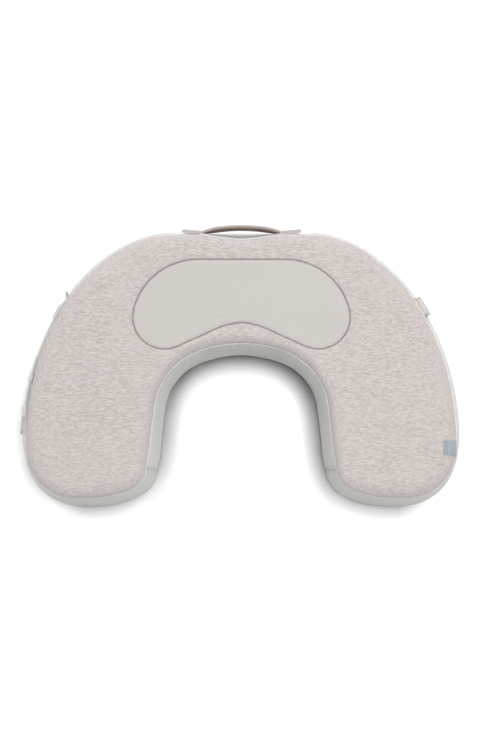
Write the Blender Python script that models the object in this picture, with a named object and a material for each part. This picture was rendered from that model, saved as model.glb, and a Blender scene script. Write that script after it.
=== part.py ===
"""A U-shaped nursing pillow: foam core, fitted liner, sewn cover with a zip, carry handle and waist strap.

+Z is up and the pillow lies on Z = 0. +X is its right side and +Y its back, where the handle is. The legs of
the U point to -Y, towards the wearer. The origin is on the underside, on the symmetry plane, in the middle of
the back band. Sizes are in millimetres here and in metres in the scene.
"""

import math

import bmesh
import bpy
from mathutils import Matrix, Vector

MM = 0.001
GAP = 0.3  # between neighbouring pieces

# ---- driving dimensions -------------------------------------------------------------------------------
HEIGHT = 120.0
SEAM_Z = 106.0  # where the top panel is sewn to the side walls
SHOULDER = 14.0  # how far the rounded top edge reaches in from the seam
FLARE = 13.0  # how much further out the walls stand at the floor than at the seam
COVER = 2.0  # foam-backed cover fabric
LINER = 0.8
LEAN = math.atan2(FLARE, SEAM_Z)

# Half of the seam outline, from the middle of the back to the middle of the U: a straight is (length,) and
# an arc is (radius, turn in degrees, left positive). A length of None is worked out so that the outline
# ends on the symmetry plane, at the front of the back band.
BACK_Y = 77.5
FRONT_Y = -79.5
PILLOW = [
    (97.0,),
    (150.0, -33.0),
    (252.0, -27.0),
    (368.0, -33.0),
    (70.0, -87.0),
    (None,),
    (155.0, -23.0),
    (36.0, -60.0),
    (None,),
    (99.0, 62.0),
    (175.0, 21.0),
]
TIP_CORNER_ENDS = 8  # the first eight pieces of the outline reach the seam between the two side walls
FLANK_ARC = 3  # the piece of the outline that the waist strap lies along
BEAN_BACK_Y = 41.0
BEAN = [(63.0,), (95.0, -76.0), (46.0, -128.5), (None,), (80.0, 24.5)]
ARC_STEP = 10.0  # degrees between the points of an arc, at most
ARC_CHORD = 36.0
STRAIGHT_STEP = 33.0

# A finger scoop in the back wall, under the handle, deepest at the seam.
SCOOP_DEPTH = 9.5
SCOOP_HALF = 58.0
SCOOP_FOOT_Z = 45.0
SCOOP_STEP = 12.0

FOAM_SPLIT_Z = 82.0
LINER_HEM = 18.0

ZIP_Z = 30.0
ZIP_HALF = 92.0
ZIP_SLOT_HALF = 5.0
ZIP_TRAVEL_HALF = 81.0
ZIP_TAPE = 14.0
ZIP_TAPE_Y = (-3.1, -2.3)  # depths behind the wall's outer face
ZIP_TEETH_Y = (-2.0, -0.6)
ZIP_STOP_Y = (-2.0, -0.2)
ZIP_PULL_OUT = 1.9  # how far the pull's axis stands off the wall
TOOTH_PITCH = 6.0
ZIP_HOLLOW = 4.0  # how far the filling gives way behind the zip

HANDLE_Z = 82.0
HANDLE_HALF_WIDTH = 14.0
HANDLE_END = 85.0
HANDLE_FOLD = 57.0
HANDLE_ARCH = 6.6
HANDLE_LIFT = 2.4  # how far the free end of each tab stands off the wall
HANDLE_PIVOT = 2.5  # the line that the grip swings about, out from the wall
HANDLE_TOTAL = 4.8  # the handle's thickness, with its lining
HANDLE_LINING = 1.4
HANDLE_CLEAR = 0.6  # between the sewn parts of the handle and the wall
GRIP_HALF = 36.0

WEBBING = 1.3
WEBBING_HALF = 12.5
STRAP_Z = 80.0
STRAP_START = 287.0
STRAP_END = 452.0
STRAP_INNER = 2.4  # how far the middle of each layer of the strap is off the wall
STRAP_OUTER = 4.9
STRAP_RAISED = 3.2  # where the strap runs through the adjuster
STRAP_ROOT = 1.3
STRAP_BAR = 5.0
ADJUSTER_AT = STRAP_START + 18.5
KEEPER_AT = STRAP_END - 45.0
CHEEK_CLEAR = 0.5  # between the webbing's edge and the plastic beside it
CHEEK = 2.5
BUCKLE_HALF = WEBBING_HALF + CHEEK_CLEAR + CHEEK
PLUG_THICK = 2.6  # half of the plug's body
PLUG_BAR = 1.7
PLUG_LENGTH = 38.0
PRONG_ROOT = (13.4, 10.0)  # where each prong meets the plug's body: along it, and off its middle
PRONG = [
    (13.4, 8.2),
    (30.0, 6.8),
    (PLUG_LENGTH, 8.4),
    (PLUG_LENGTH, 10.5),
    (30.5, 13.6),
    (28.5, 13.2),
    (28.5, 9.9),
    (13.4, 11.8),
]
PRONG_HALF = 1.9
SOCKET_AT = 298.0
SOCKET_Z = 84.0
SOCKET_BAR_OUT = 3.5
SOCKET_BAR = 1.6
SOCKET_TOP = -5.0  # heights below the socket's bar
SOCKET_BOTTOM = -45.0
SOCKET_WINDOW = (-34.0, -21.0)
SOCKET_NEAR = -2.8  # the socket's faces, out from its bar
SOCKET_FAR = 4.9
SOCKET_SHELL = 1.6
TAB_THICK = 1.1
BAR_WRAP = 2.6  # the radius at which webbing turns round a bar

LABEL_FROM = 498.0
LABEL_TO = 521.0
LABEL_LIES = 19.0  # how far in from the seam its free end lies
LABEL_FACES = (0.5, 1.2)  # its faces, off the cover

ROUND_BAR_SIDES = 8

COLOURS = {
    "jersey_knit": ((0.64, 0.58, 0.55), 0.9, 0.0),
    "smooth_panel": ((0.66, 0.63, 0.59), 0.6, 0.0),
    "grey_fabric": ((0.57, 0.57, 0.55), 0.85, 0.0),
    "piping": ((0.74, 0.73, 0.70), 0.7, 0.0),
    "dark_cord": ((0.22, 0.18, 0.16), 0.7, 0.0),
    "base_fabric": ((0.50, 0.50, 0.48), 0.9, 0.0),
    "liner_fabric": ((0.86, 0.86, 0.84), 0.8, 0.0),
    "firm_foam": ((0.80, 0.78, 0.70), 0.9, 0.0),
    "soft_foam": ((0.88, 0.87, 0.82), 0.9, 0.0),
    "webbing": ((0.60, 0.55, 0.52), 0.8, 0.0),
    "dark_lining": ((0.11, 0.075, 0.06), 0.7, 0.0),
    "zip_tape": ((0.58, 0.58, 0.56), 0.8, 0.0),
    "zip_metal": ((0.62, 0.61, 0.60), 0.3, 1.0),
    "grey_plastic": ((0.52, 0.49, 0.47), 0.4, 0.0),
    "label_fabric": ((0.40, 0.46, 0.53), 0.6, 0.0),
}


# ---- outlines -----------------------------------------------------------------------------------------
def direction(degrees):
    return Vector((math.cos(math.radians(degrees)), math.sin(math.radians(degrees))))


def left_of(vector):
    return Vector((-vector.y, vector.x))


def arc_travel(heading, radius, turn):
    """The way from the start of an arc to its end."""
    side = math.copysign(1.0, turn)
    return radius * side * (left_of(direction(heading)) - left_of(direction(heading + turn)))


class Outline:
    """A closed outline, the same on both sides of X = 0. A place on it is s, the distance along it from the
    middle of the back: positive on the right half and negative on the left."""

    def __init__(self, back_y, pieces, front_y=None):
        heading, known, free = 0.0, Vector((0.0, back_y)), []
        for piece in pieces:
            if len(piece) == 2:
                known += arc_travel(heading, *piece)
                heading += piece[1]
            elif piece[0] is None:
                free.append(direction(heading))
            else:
                known += piece[0] * direction(heading)
        if len(free) == 2:
            a, b = free
            goal = Vector((0.0, front_y)) - known
            size = a.cross(b)
            lengths = [goal.cross(b) / size, a.cross(goal) / size]
        else:
            lengths = [-known.x / free[0].x]
        self.pieces = []  # (start s, length, start point, heading, radius or None, turn)
        s, heading, point = 0.0, 0.0, Vector((0.0, back_y))
        for piece in pieces:
            if len(piece) == 2:
                radius, turn = piece
                length = radius * math.radians(abs(turn))
                self.pieces.append((s, length, point.copy(), heading, radius, turn))
                point += arc_travel(heading, radius, turn)
                heading += turn
            else:
                length = lengths.pop(0) if piece[0] is None else piece[0]
                self.pieces.append((s, length, point.copy(), heading, None, 0.0))
                point += length * direction(heading)
            s += length
        self.half = s

    def at(self, s):
        """The point, the tangent (towards greater s) and the outward normal at s."""
        away = min(abs(s), self.half)
        start, length, point, heading, radius, turn = [p for p in self.pieces if p[0] <= away + 1e-9][-1]
        along = min(away - start, length)
        if radius is None:
            here, angle = point + along * direction(heading), heading
        else:
            swept = turn * along / length
            here, angle = point + arc_travel(heading, radius, swept) if swept else point, heading + swept
        tangent = direction(angle)
        normal = left_of(tangent)
        if s < 0:
            here, tangent, normal = (
                Vector((-here.x, here.y)),
                Vector((tangent.x, -tangent.y)),
                Vector((-normal.x, normal.y)),
            )
        return here, tangent, normal

    def centre(self, index, side=1):
        """The centre of one of its arcs, on the right half or, with side -1, on the left."""
        _, _, point, heading, radius, turn = self.pieces[index]
        centre = point + radius * math.copysign(1.0, turn) * left_of(direction(heading))
        return Vector((side * centre.x, centre.y))

    def steps(self, straight_step, first_step=None):
        """Places along the right half, from the middle of the back to the middle of the front."""
        places = [0.0]
        for index, (start, length, _, _, radius, turn) in enumerate(self.pieces):
            step = first_step if index == 0 and first_step else straight_step
            count = math.ceil(max(abs(turn) / ARC_STEP, length / ARC_CHORD) if radius else length / step)
            places += [start + length * (k + 1) / count for k in range(count)]
        return places


def both_sides(places):
    """Places on the right half, then back along the left half, once round."""
    return places + [-s for s in reversed(places[1:-1])]


pillow = Outline(BACK_Y, PILLOW, FRONT_Y)
bean = Outline(BEAN_BACK_Y, BEAN)
HALF_PLACES = pillow.steps(STRAIGHT_STEP, SCOOP_STEP)
ROUND_PLACES = both_sides(HALF_PLACES)
BEAN_PLACES = both_sides(bean.steps(STRAIGHT_STEP))


# ---- the pillow's surface -----------------------------------------------------------------------------
def ramp(value, zero_at, one_at):
    return min(1.0, max(0.0, (value - zero_at) / (one_at - zero_at)))


def scoop(x, z):
    if abs(x) >= SCOOP_HALF:
        return 0.0
    return SCOOP_DEPTH * math.cos(math.pi * x / 2 / SCOOP_HALF) ** 2 * ramp(z, SCOOP_FOOT_Z, SEAM_Z)


def zip_hollow(x, z):
    """How far the liner and foam give way behind the zip."""
    across = ramp(abs(x), ZIP_HALF + 30, ZIP_HALF + 4)
    return ZIP_HOLLOW * across * ramp(z, 4, 13) * ramp(z, 62, 47)


def lean(z):
    """How far the wall stands out from the seam outline at height z."""
    return FLARE * (1 - z / SEAM_Z)


def place(s, offset, z, behind_zip=False):
    """The point at s, offset outwards from the seam outline, at height z, with the scoop taken off."""
    here, _, normal = pillow.at(s)
    point = here + offset * normal
    if here.y > 0:
        point.y -= scoop(here.x, z)
        if behind_zip:
            point.y -= zip_hollow(here.x, z)
    return Vector((point.x, point.y, z))


def shoulder(depth, top_first=True, steps=3):
    """(offset, z) over the rounded top edge, depth inside the cover's outer face."""
    points = []
    for k in range(steps + 1):
        angle = math.radians(90 * k / steps)
        offset = -depth - (SHOULDER - depth) * (1 - math.cos(angle))
        points.append((offset, SEAM_Z + (HEIGHT - SEAM_Z - depth) * math.sin(angle)))
    return points[::-1] if top_first else points


def wall(depth, heights):
    """(offset, z) down a wall, depth inside the cover's outer face."""
    return [(lean(z) - depth, z) for z in heights]


# ---- making objects -----------------------------------------------------------------------------------
def material(name):
    found = bpy.data.materials.get(name)
    if found:
        return found
    colour, roughness, metallic = COLOURS[name]
    made = bpy.data.materials.new(name)
    made.use_nodes = True
    shader = made.node_tree.nodes["Principled BSDF"]
    shader.inputs["Base Color"].default_value = (*colour, 1.0)
    shader.inputs["Roughness"].default_value = roughness
    shader.inputs["Metallic"].default_value = metallic
    return made


def add(name, bm, slot, parent=None, pivot=None):
    """Makes the object of a bmesh in millimetres, its origin at pivot, or in its parent's frame."""
    if pivot is not None:
        bmesh.ops.translate(bm, verts=bm.verts, vec=-pivot)
    bmesh.ops.scale(bm, verts=bm.verts, vec=(MM, MM, MM))
    bmesh.ops.recalc_face_normals(bm, faces=bm.faces)
    bmesh.ops.triangulate(bm, faces=bm.faces, quad_method="SHORT_EDGE")  # nested shells split alike
    mesh = bpy.data.meshes.new(name)
    bm.to_mesh(mesh)
    bm.free()
    mesh.materials.append(material(slot))
    mesh.shade_smooth()
    mesh.set_sharp_from_angle(angle=math.radians(35))
    obj = bpy.data.objects.new(name, mesh)
    bpy.context.scene.collection.objects.link(obj)
    obj.parent = parent
    if pivot is not None:
        obj.location = pivot * MM
    return obj


def loft(bm, rings, wrap=False):
    """Joins closed rings of points, one to the next, and caps the ends or joins the last to the first."""
    loops = [[bm.verts.new(point) for point in ring] for ring in rings]
    for a, b in zip(loops, loops[1:] + loops[:1] if wrap else loops[1:]):
        for i in range(len(a)):
            j = (i + 1) % len(a)
            bm.faces.new((a[i], a[j], b[j], b[i]))
    if not wrap:
        bm.faces.new(loops[0])
        bm.faces.new(loops[-1])
    return bm


def lofted(name, slot, rings, wrap=False, parent=None, pivot=None):
    return add(name, loft(bmesh.new(), rings, wrap), slot, parent, pivot)


def prism(outline_points, low, high):
    """Two rings for a plate: the points at height low and at height high."""
    return [[Vector((p[0], p[1], z)) for p in outline_points] for z in (low, high)]


def box(bm, x, y, z):
    """Adds a box from its ranges."""
    sides = ((x[0], y[0]), (x[1], y[0]), (x[1], y[1]), (x[0], y[1]))
    return loft(bm, prism(sides, *z))


def boxes(name, slot, ranges, parent):
    """An object of boxes that overlap, joined into one body."""
    first, *others = ranges
    obj = add(name, box(bmesh.new(), *first), slot, parent)
    for k, more in enumerate(others):
        combine(obj, cutter(f"{name}_join_{k}", box(bmesh.new(), *more), parent), "UNION")
    return obj


def cutter(name, bm, parent=None):
    obj = add(name, bm, "grey_plastic", parent)
    obj.hide_render = True
    obj.display_type = "WIRE"
    return obj


def combine(obj, other, operation):
    modifier = obj.modifiers.new(other.name, "BOOLEAN")
    modifier.operation = operation
    modifier.object = other


def frame(name, origin, x_axis, z_axis, parent=None):
    """An empty whose X and Z axes are the ones given; parts built in its frame are parented to it."""
    x = x_axis.normalized()
    z = z_axis.normalized()
    y = z.cross(x)
    matrix = Matrix((x, y, z)).transposed().to_4x4()
    matrix.translation = origin * MM
    empty = bpy.data.objects.new(name, None)
    bpy.context.scene.collection.objects.link(empty)
    empty.parent = parent
    empty.matrix_world = matrix
    return empty


def ribbon_outline(path, thickness):
    """The two sides of a band that follows a flat path, as one closed outline."""
    sides = ([], [])
    for k, here in enumerate(path):
        before, after = path[max(k - 1, 0)], path[min(k + 1, len(path) - 1)]
        first = (Vector(here) - Vector(before)).normalized() if k else None
        second = (Vector(after) - Vector(here)).normalized() if k < len(path) - 1 else None
        way = ((first or second) + (second or first)).normalized()
        across = left_of(way) * (thickness / 2 / max(0.5, way.dot(first or second)))
        sides[0].append(Vector(here) + across)
        sides[1].append(Vector(here) - across)
    return sides[0] + sides[1][::-1]


def arc_points(centre, radius, start, end, count):
    """Points along an arc, its angles in degrees."""
    return [
        (centre[0] + radius * c.x, centre[1] + radius * c.y)
        for c in (direction(start + (end - start) * k / count) for k in range(count + 1))
    ]


# ---- cover --------------------------------------------------------------------------------------------
def rings(profile, places=None, behind_zip=False):
    return [[place(s, offset, z, behind_zip) for s in places or ROUND_PLACES] for offset, z in profile]


def bean_ring(offset):
    points = []
    for s in BEAN_PLACES:
        here, _, normal = bean.at(s)
        points.append(here + offset * normal)
    return points


def cord(outline_point, places, radius):
    """Square-section rings along a closed outline, standing on a corner. outline_point(s, out, up)."""
    corners = [(radius, 0.0), (0.0, radius), (-radius, 0.0), (0.0, -radius)]
    return [[outline_point(s, out, up) for out, up in corners] for s in places]


def make_top():
    window_gap = 1.2
    rim = SEAM_Z + GAP
    outer = [(0.0, rim)] + shoulder(0.0, top_first=False)[1:]
    inner = [(-COVER, rim)] + shoulder(COVER, top_first=False)[1:]
    top = lofted("top_panel", "jersey_knit", rings(outer[::-1] + inner))
    window = prism(bean_ring(window_gap), HEIGHT - 2 * COVER, HEIGHT + COVER)
    combine(top, cutter("bean_window", loft(bmesh.new(), window)), "DIFFERENCE")
    lofted("bean_panel", "smooth_panel", prism(bean_ring(-window_gap), HEIGHT - COVER, HEIGHT))

    def on_bean(s, out, up):
        here, _, normal = bean.at(s)
        point = here + out * normal
        return Vector((point.x, point.y, HEIGHT - 0.8 + up))

    lofted("bean_piping", "dark_cord", cord(on_bean, BEAN_PLACES, window_gap - GAP), wrap=True)

    def on_seam(s, out, up):
        return place(s, out - 0.6, SEAM_Z - 0.9 + up)

    lofted("top_piping", "piping", cord(on_seam, ROUND_PLACES, 0.9), wrap=True)


WALL_TOP_Z = SEAM_Z - 2.1
WALL_HEIGHTS = (WALL_TOP_Z, 76.0, SCOOP_FOOT_Z, 6.0)
WALL_CURL = 8.5  # the offset at which the wall, turned under, meets the bottom panel


def wall_section():
    """The wall's section as one closed list of (offset, z): down the outside and back up the inside."""
    outside = wall(0.0, WALL_HEIGHTS) + [(FLARE - 1.6, 1.6), (WALL_CURL, 0.0)]
    inside = wall(COVER, WALL_HEIGHTS[:-1]) + [(FLARE - COVER - 1.0, 6.8), (WALL_CURL, COVER)]
    return outside + inside[::-1]


def make_walls():
    split = pillow.pieces[TIP_CORNER_ENDS][0]
    near = [s for s in HALF_PLACES if s < split - 1.0] + [split - GAP / 2]
    far = [split + GAP / 2] + [s for s in HALF_PLACES if s > split + 1.0]
    section = wall_section()

    def swept(places):
        return [[place(s, offset, z) for offset, z in section] for s in places]

    outer = lofted("outer_wall_panel", "grey_fabric", swept([-s for s in near[:0:-1]] + near))
    slot = box(bmesh.new(), (-ZIP_HALF, ZIP_HALF), (-3 * COVER, 2 * COVER), (-ZIP_SLOT_HALF, ZIP_SLOT_HALF))
    combine(outer, cutter("zip_slot", slot, back_frame("zip_slot_frame", ZIP_Z)), "DIFFERENCE")
    lofted("inner_wall_panel", "grey_fabric", swept(far + [-s for s in far[-2::-1]]))
    lofted("bottom_panel", "base_fabric", rings([(WALL_CURL - GAP, 0.0), (WALL_CURL - GAP, COVER)]))


def back_frame(name, z):
    """A frame on the back wall's outer face: X along the wall, Y out of it and Z up it."""
    return frame(name, place(HANDLE_FOLD + 1, lean(z), z) * Vector((0, 1, 1)), Vector((1, 0, 0)), back_up())


def back_up():
    return Vector((0.0, -math.sin(LEAN), math.cos(LEAN)))


# ---- filling ------------------------------------------------------------------------------------------
def make_filling():
    liner_out = COVER + 0.5
    liner_in = liner_out + LINER
    foam = liner_in + GAP
    heights = (SEAM_Z - 2, FOAM_SPLIT_Z, 62.0, 47.0, 13.0)
    floor_out = COVER + 0.4
    floor_in = floor_out + LINER
    hem = WALL_CURL - LINER_HEM
    outside = shoulder(liner_out, steps=2) + wall(liner_out, heights[1:])
    outside += [(WALL_CURL - 1.0, floor_out), (hem, floor_out)]
    inside = shoulder(liner_in, steps=2) + wall(liner_in, heights[1:])
    inside += [(WALL_CURL - 1.8, floor_in), (hem, floor_in)]
    lofted("foam_liner", "liner_fabric", rings(outside + inside[::-1], behind_zip=True))
    low = wall(foam, (FOAM_SPLIT_Z,) + heights[2:]) + [(WALL_CURL - 2.4, floor_in + GAP)]
    lofted("base_foam", "firm_foam", rings(low, behind_zip=True))
    high = shoulder(foam, steps=2) + wall(foam, (FOAM_SPLIT_Z + GAP,))
    lofted("comfort_foam", "soft_foam", rings(high, behind_zip=True))


# ---- zip ----------------------------------------------------------------------------------------------
def make_zip():
    on_wall = back_frame("zip_frame", ZIP_Z)
    tape_x = (-ZIP_HALF - 5, ZIP_HALF + 5)
    lofted_box("zip_tape_upper", "zip_tape", tape_x, ZIP_TAPE_Y, (1.2, ZIP_TAPE), on_wall)
    lofted_box("zip_tape_lower", "zip_tape", tape_x, ZIP_TAPE_Y, (-ZIP_TAPE, -1.2), on_wall)
    stop_x, stop_length, stop_half = ZIP_TRAVEL_HALF + 7.5, 2.5, 2.8
    for name, side in (("zip_teeth_upper", 1), ("zip_teeth_lower", -1)):
        teeth = comb(stop_x - 0.5, side)
        faces = [[Vector((x, y, z)) for x, z in teeth] for y in ZIP_TEETH_Y]
        lofted(name, "zip_metal", faces, parent=on_wall)
    for name, x in (
        ("zip_stop_start", (stop_x, stop_x + stop_length)),
        ("zip_stop_end", (-stop_x - stop_length, -stop_x)),
    ):
        lofted_box(name, "zip_metal", x, ZIP_STOP_Y, (-stop_half, stop_half), on_wall)
    origin = on_wall.matrix_world @ (Vector((ZIP_TRAVEL_HALF, ZIP_PULL_OUT, 0.0)) * MM) / MM
    axis = frame("zip_pull_axis", origin, Vector((1, 0, 0)), back_up())
    make_slider(axis)
    make_pull(axis)


def lofted_box(name, slot, x, y, z, parent):
    return add(name, box(bmesh.new(), x, y, z), slot, parent)


def comb(reach, side):
    """The outline of one row of teeth, in (x, z). The roots are on the tape and the tips near the middle."""
    root, gum, tip = 2.8 * side, 1.5 * side, 0.6 * side
    first = 0.25 if side > 0 else 0.55  # the rows are out of step
    width = TOOTH_PITCH * 0.4
    points = [(-reach, root), (-reach, gum)]
    for k in range(int(2 * reach / TOOTH_PITCH)):
        x = -reach + TOOTH_PITCH * (k + first)
        points += [(x, gum), (x, tip), (x + width, tip), (x + width, gum)]
    points += [(reach, gum), (reach, root)]
    return points


def make_slider(axis):
    """Two plates on a thin post, and a bail for the pull. Y is measured from the pull's axis."""
    plate_x, plate_z = (-6, 6), (-4.2, 4.2)
    bail_x, bail_top = (-0.8, 0.8), 1.9
    boxes("zip_slider", "zip_metal", [
        (plate_x, (-2.2, -0.9), plate_z),
        (plate_x, (-6.7, -5.4), plate_z),
        ((2.5, 5.5), (-5.8, -1.4), (-0.3, 0.3)),
        (bail_x, (-1.2, bail_top), (2.6, 3.6)),
        (bail_x, (-1.2, bail_top), (-3.6, -2.6)),
        (bail_x, (bail_top - 1, bail_top), (-3.4, 3.4)),
    ], axis)


def round_bar(radius, half, along_x=True):
    """A bar through the origin, along X or along Z."""
    sides = [direction(360 * k / ROUND_BAR_SIDES) * radius for k in range(ROUND_BAR_SIDES)]
    if along_x:
        return [[Vector((x, c.x, c.y)) for c in sides] for x in (-half, half)]
    return [[Vector((c.x, c.y, z)) for c in sides] for z in (-half, half)]


def make_pull(axis):
    """A tab that hangs from the bail by a round bar."""
    bar, bar_half, thick, eye_foot, length = 0.6, 3.0, 0.6, -6, 25
    pull = lofted("zip_pull", "zip_metal", round_bar(bar, bar_half), parent=axis)
    for k, x in enumerate(((1.3, bar_half), (-bar_half, -1.3))):
        side = box(bmesh.new(), x, (0.05 - thick, thick - 0.05), (eye_foot - 2, 0))
        combine(pull, cutter(f"pull_side_{k}", side, axis), "UNION")
    tab = box(bmesh.new(), (-bar_half - 0.2, bar_half + 0.2), (-thick, thick), (-length, eye_foot))
    combine(pull, cutter("pull_tab", tab, axis), "UNION")


# ---- handle -------------------------------------------------------------------------------------------
def arch(x):
    """How far the inner face of the handle stands off the wall."""
    if abs(x) < HANDLE_FOLD:
        return HANDLE_CLEAR + HANDLE_ARCH * (1 - (x / HANDLE_FOLD) ** 2)
    return HANDLE_CLEAR + HANDLE_LIFT * ((abs(x) - HANDLE_FOLD) / (HANDLE_END - HANDLE_FOLD)) ** 2


def band(name, slot, across, low, high, parent):
    """A length of the handle: it passes through the given x, from low to high beyond its inner face."""
    outline = [(x, arch(x) + low) for x in across] + [(x, arch(x) + high) for x in reversed(across)]
    lofted(name, slot, prism(outline, -HANDLE_HALF_WIDTH, HANDLE_HALF_WIDTH), parent=parent)


def make_handle():
    """The tabs are sewn flat to the leaning wall, and the grip between them stands upright."""
    on_wall = back_frame("handle_tabs", HANDLE_Z)
    origin = on_wall.matrix_world.translation / MM + Vector((0, HANDLE_PIVOT, 0))
    axis = frame("handle_axis", origin, Vector((1, 0, 0)), Vector((0, 0, 1)))
    grip = [GRIP_HALF * k / 6 for k in range(-6, 7)]
    band("handle_grip_lining", "dark_lining", grip, -HANDLE_PIVOT, HANDLE_LINING - HANDLE_PIVOT, axis)
    outer = (HANDLE_LINING + GAP - HANDLE_PIVOT, HANDLE_TOTAL - HANDLE_PIVOT)
    band("handle_grip", "webbing", grip, *outer, axis)
    for name, side in (("handle_tab_right", 1), ("handle_tab_left", -1)):
        across = [GRIP_HALF + 0.4, 43.0, 50.0, HANDLE_FOLD, 66.0, 76.0, HANDLE_END]
        band(name, "webbing", [side * x for x in across], 0.0, HANDLE_TOTAL, on_wall)


# ---- waist strap --------------------------------------------------------------------------------------
def on_flank(name, points, pivot=None):
    """Webbing that leans with the left flank. Its outline is given as (s, distance off the wall)."""
    levels = (STRAP_Z - WEBBING_HALF, STRAP_Z + WEBBING_HALF)
    lofted(name, "webbing", [[place(-s, lean(z) + off, z) for s, off in points] for z in levels], pivot=pivot)


def flank_up(s):
    """The way up the wall at s."""
    return (place(s, lean(SEAM_Z), SEAM_Z) - place(s, lean(0), 0)).normalized()


def strap_path():
    """Out of the tab, flat under the adjuster, along the wall, round the bar of the plug and back."""
    path = [(STRAP_START + 1.2, STRAP_ROOT)] + [(STRAP_START + 7 + 11 * k, STRAP_RAISED) for k in range(6)]
    path += [(STRAP_START + 72 + 11.5 * k, STRAP_INNER) for k in range(8)]
    path += arc_points((STRAP_END, STRAP_BAR), BAR_WRAP, -80, 100, 6)
    path += [(STRAP_END - 10, STRAP_OUTER + 0.4)]
    return path + [(STRAP_END - 16 - 12 * k, STRAP_OUTER) for k in range(6)]


def make_left_strap():
    hinge = place(-STRAP_START, lean(STRAP_Z) + STRAP_ROOT, STRAP_Z)
    tab = [(-16, 8.2), (-13, 5.0), (-9, 2.2), (-5, STRAP_ROOT), (0, STRAP_ROOT)]
    tab = [(STRAP_START + along, off) for along, off in tab]
    on_flank("strap_tab_left", ribbon_outline(tab, WEBBING + GAP))
    on_flank("waist_strap", ribbon_outline(strap_path(), WEBBING), hinge)
    arc = frame("strap_arc", pillow.centre(FLANK_ARC, -1).to_3d() + Vector((0, 0, STRAP_Z)),
                Vector((1, 0, 0)), Vector((0, 0, 1)))
    make_adjuster(arc)
    make_keeper(arc)
    make_plug(flank_frame("plug_axis", STRAP_END, STRAP_BAR))


def flank_frame(name, s, off, parent=None):
    """A frame on the left flank: X towards the leg's tip, Y into the wall and Z up it."""
    forward = pillow.at(-s)[1].to_3d() * -1
    return frame(name, place(-s, lean(STRAP_Z) + off, STRAP_Z), forward, flank_up(-s), parent)


def both_cheeks(x, y, near, far):
    """The ranges of two cheeks, one beyond each edge of the webbing."""
    return [(x, y, (near, far)), (x, y, (-far, -near))]


def make_adjuster(arc):
    """Side bars over the webbing and a middle bar under it, on two cheeks beyond its edges. It slides along
    the strap, about the centre of the flank's arc."""
    on_strap = flank_frame("adjuster_frame", ADJUSTER_AT, STRAP_RAISED, arc)
    near = WEBBING_HALF + CHEEK_CLEAR
    over, under = (-2.9, -1.1), (1.1, 2.7)
    wide = (-near - 0.5, near + 0.5)
    boxes("strap_adjuster", "grey_plastic", both_cheeks((-11, 11), (-2.9, 2.6), near, near + 2.2) + [
        ((-10.8, -7.5), over, wide),
        ((7.5, 10.8), over, wide),
        ((-1.7, 1.7), under, wide),
    ], on_strap)


def make_keeper(arc):
    """An elastic loop round both layers of the strap, which slides along it like the adjuster."""
    on_strap = flank_frame("keeper_frame", KEEPER_AT, (STRAP_INNER + STRAP_OUTER) / 2, arc)
    inside, thick, half = 2.2, 0.9, WEBBING_HALF + 0.6
    wide = (-half - thick, half + thick)
    boxes("strap_keeper", "webbing", [
        ((-6, 6), (-inside - thick, -inside), wide),
        ((-6, 6), (inside, inside + thick), wide),
        *both_cheeks((-5.9, 5.9), (-inside - 0.5, inside + 0.5), half, half + thick - 0.05),
    ], on_strap)


def make_plug(axis):
    """A frame with a bar for the webbing, a guide rail, and two prongs that flex. X points to its free end
    and Y into the wall."""
    near = WEBBING_HALF + CHEEK_CLEAR
    plug = boxes("buckle_plug", "grey_plastic", [
        ((6, 13), (-PLUG_THICK, PLUG_THICK), (-BUCKLE_HALF, BUCKLE_HALF)),
        *both_cheeks((-2.2, 6.5), (0.1 - PLUG_THICK, PLUG_THICK - 0.1), near, BUCKLE_HALF),
        ((12.5, 33), (-1.2, 1.2), (-1.8, 1.8)),
    ], axis)
    bar = loft(bmesh.new(), round_bar(PLUG_BAR, BUCKLE_HALF - 0.6, along_x=False))
    combine(plug, cutter("plug_bar", bar, axis), "UNION")
    make_prong("buckle_prong_upper", 1, axis)
    make_prong("buckle_prong_lower", -1, axis)


def make_prong(name, side, axis):
    """A hooked prong beside the guide rail. It flexes about its root."""
    root = Vector((PRONG_ROOT[0], 0, side * PRONG_ROOT[1]))
    world = axis.matrix_world
    hinge = frame(name + "_axis", world @ (root * MM) / MM, world.col[0].to_3d(), world.col[2].to_3d())
    faces = [[Vector((x, y, side * z)) - root for x, z in PRONG] for y in (-PRONG_HALF, PRONG_HALF)]
    lofted(name, "grey_plastic", faces, parent=hinge)


def make_right_buckle():
    """A tab sewn to the right wall, with the buckle's socket hanging from it. X points to the leg's tip,
    Y out of the wall and Z up it."""
    tangent = pillow.at(SOCKET_AT)[1].to_3d()
    up = flank_up(SOCKET_AT)
    at_wall = frame("socket_tab_frame", place(SOCKET_AT, lean(SOCKET_Z), SOCKET_Z), tangent, up)
    top, near_wall, doubled = 16, 0.9, 2.4
    path = [(near_wall, top), (near_wall, 8), (near_wall, 1.0)]
    path += arc_points((SOCKET_BAR_OUT, 0), BAR_WRAP, 180, 360, 6)
    path += [(5.8, 2.5), (4.0, 8.0), (doubled, 12.0), (doubled, top)]
    outline = ribbon_outline(path, TAB_THICK)
    tab = [[Vector((x, y, z)) for y, z in outline] for x in (-WEBBING_HALF, WEBBING_HALF)]
    lofted("strap_tab_right", "webbing", tab, parent=at_wall)
    origin = at_wall.matrix_world @ Vector((0, SOCKET_BAR_OUT * MM, 0)) / MM
    axis = frame("socket_axis", origin, tangent, up)
    make_socket(axis)


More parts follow.
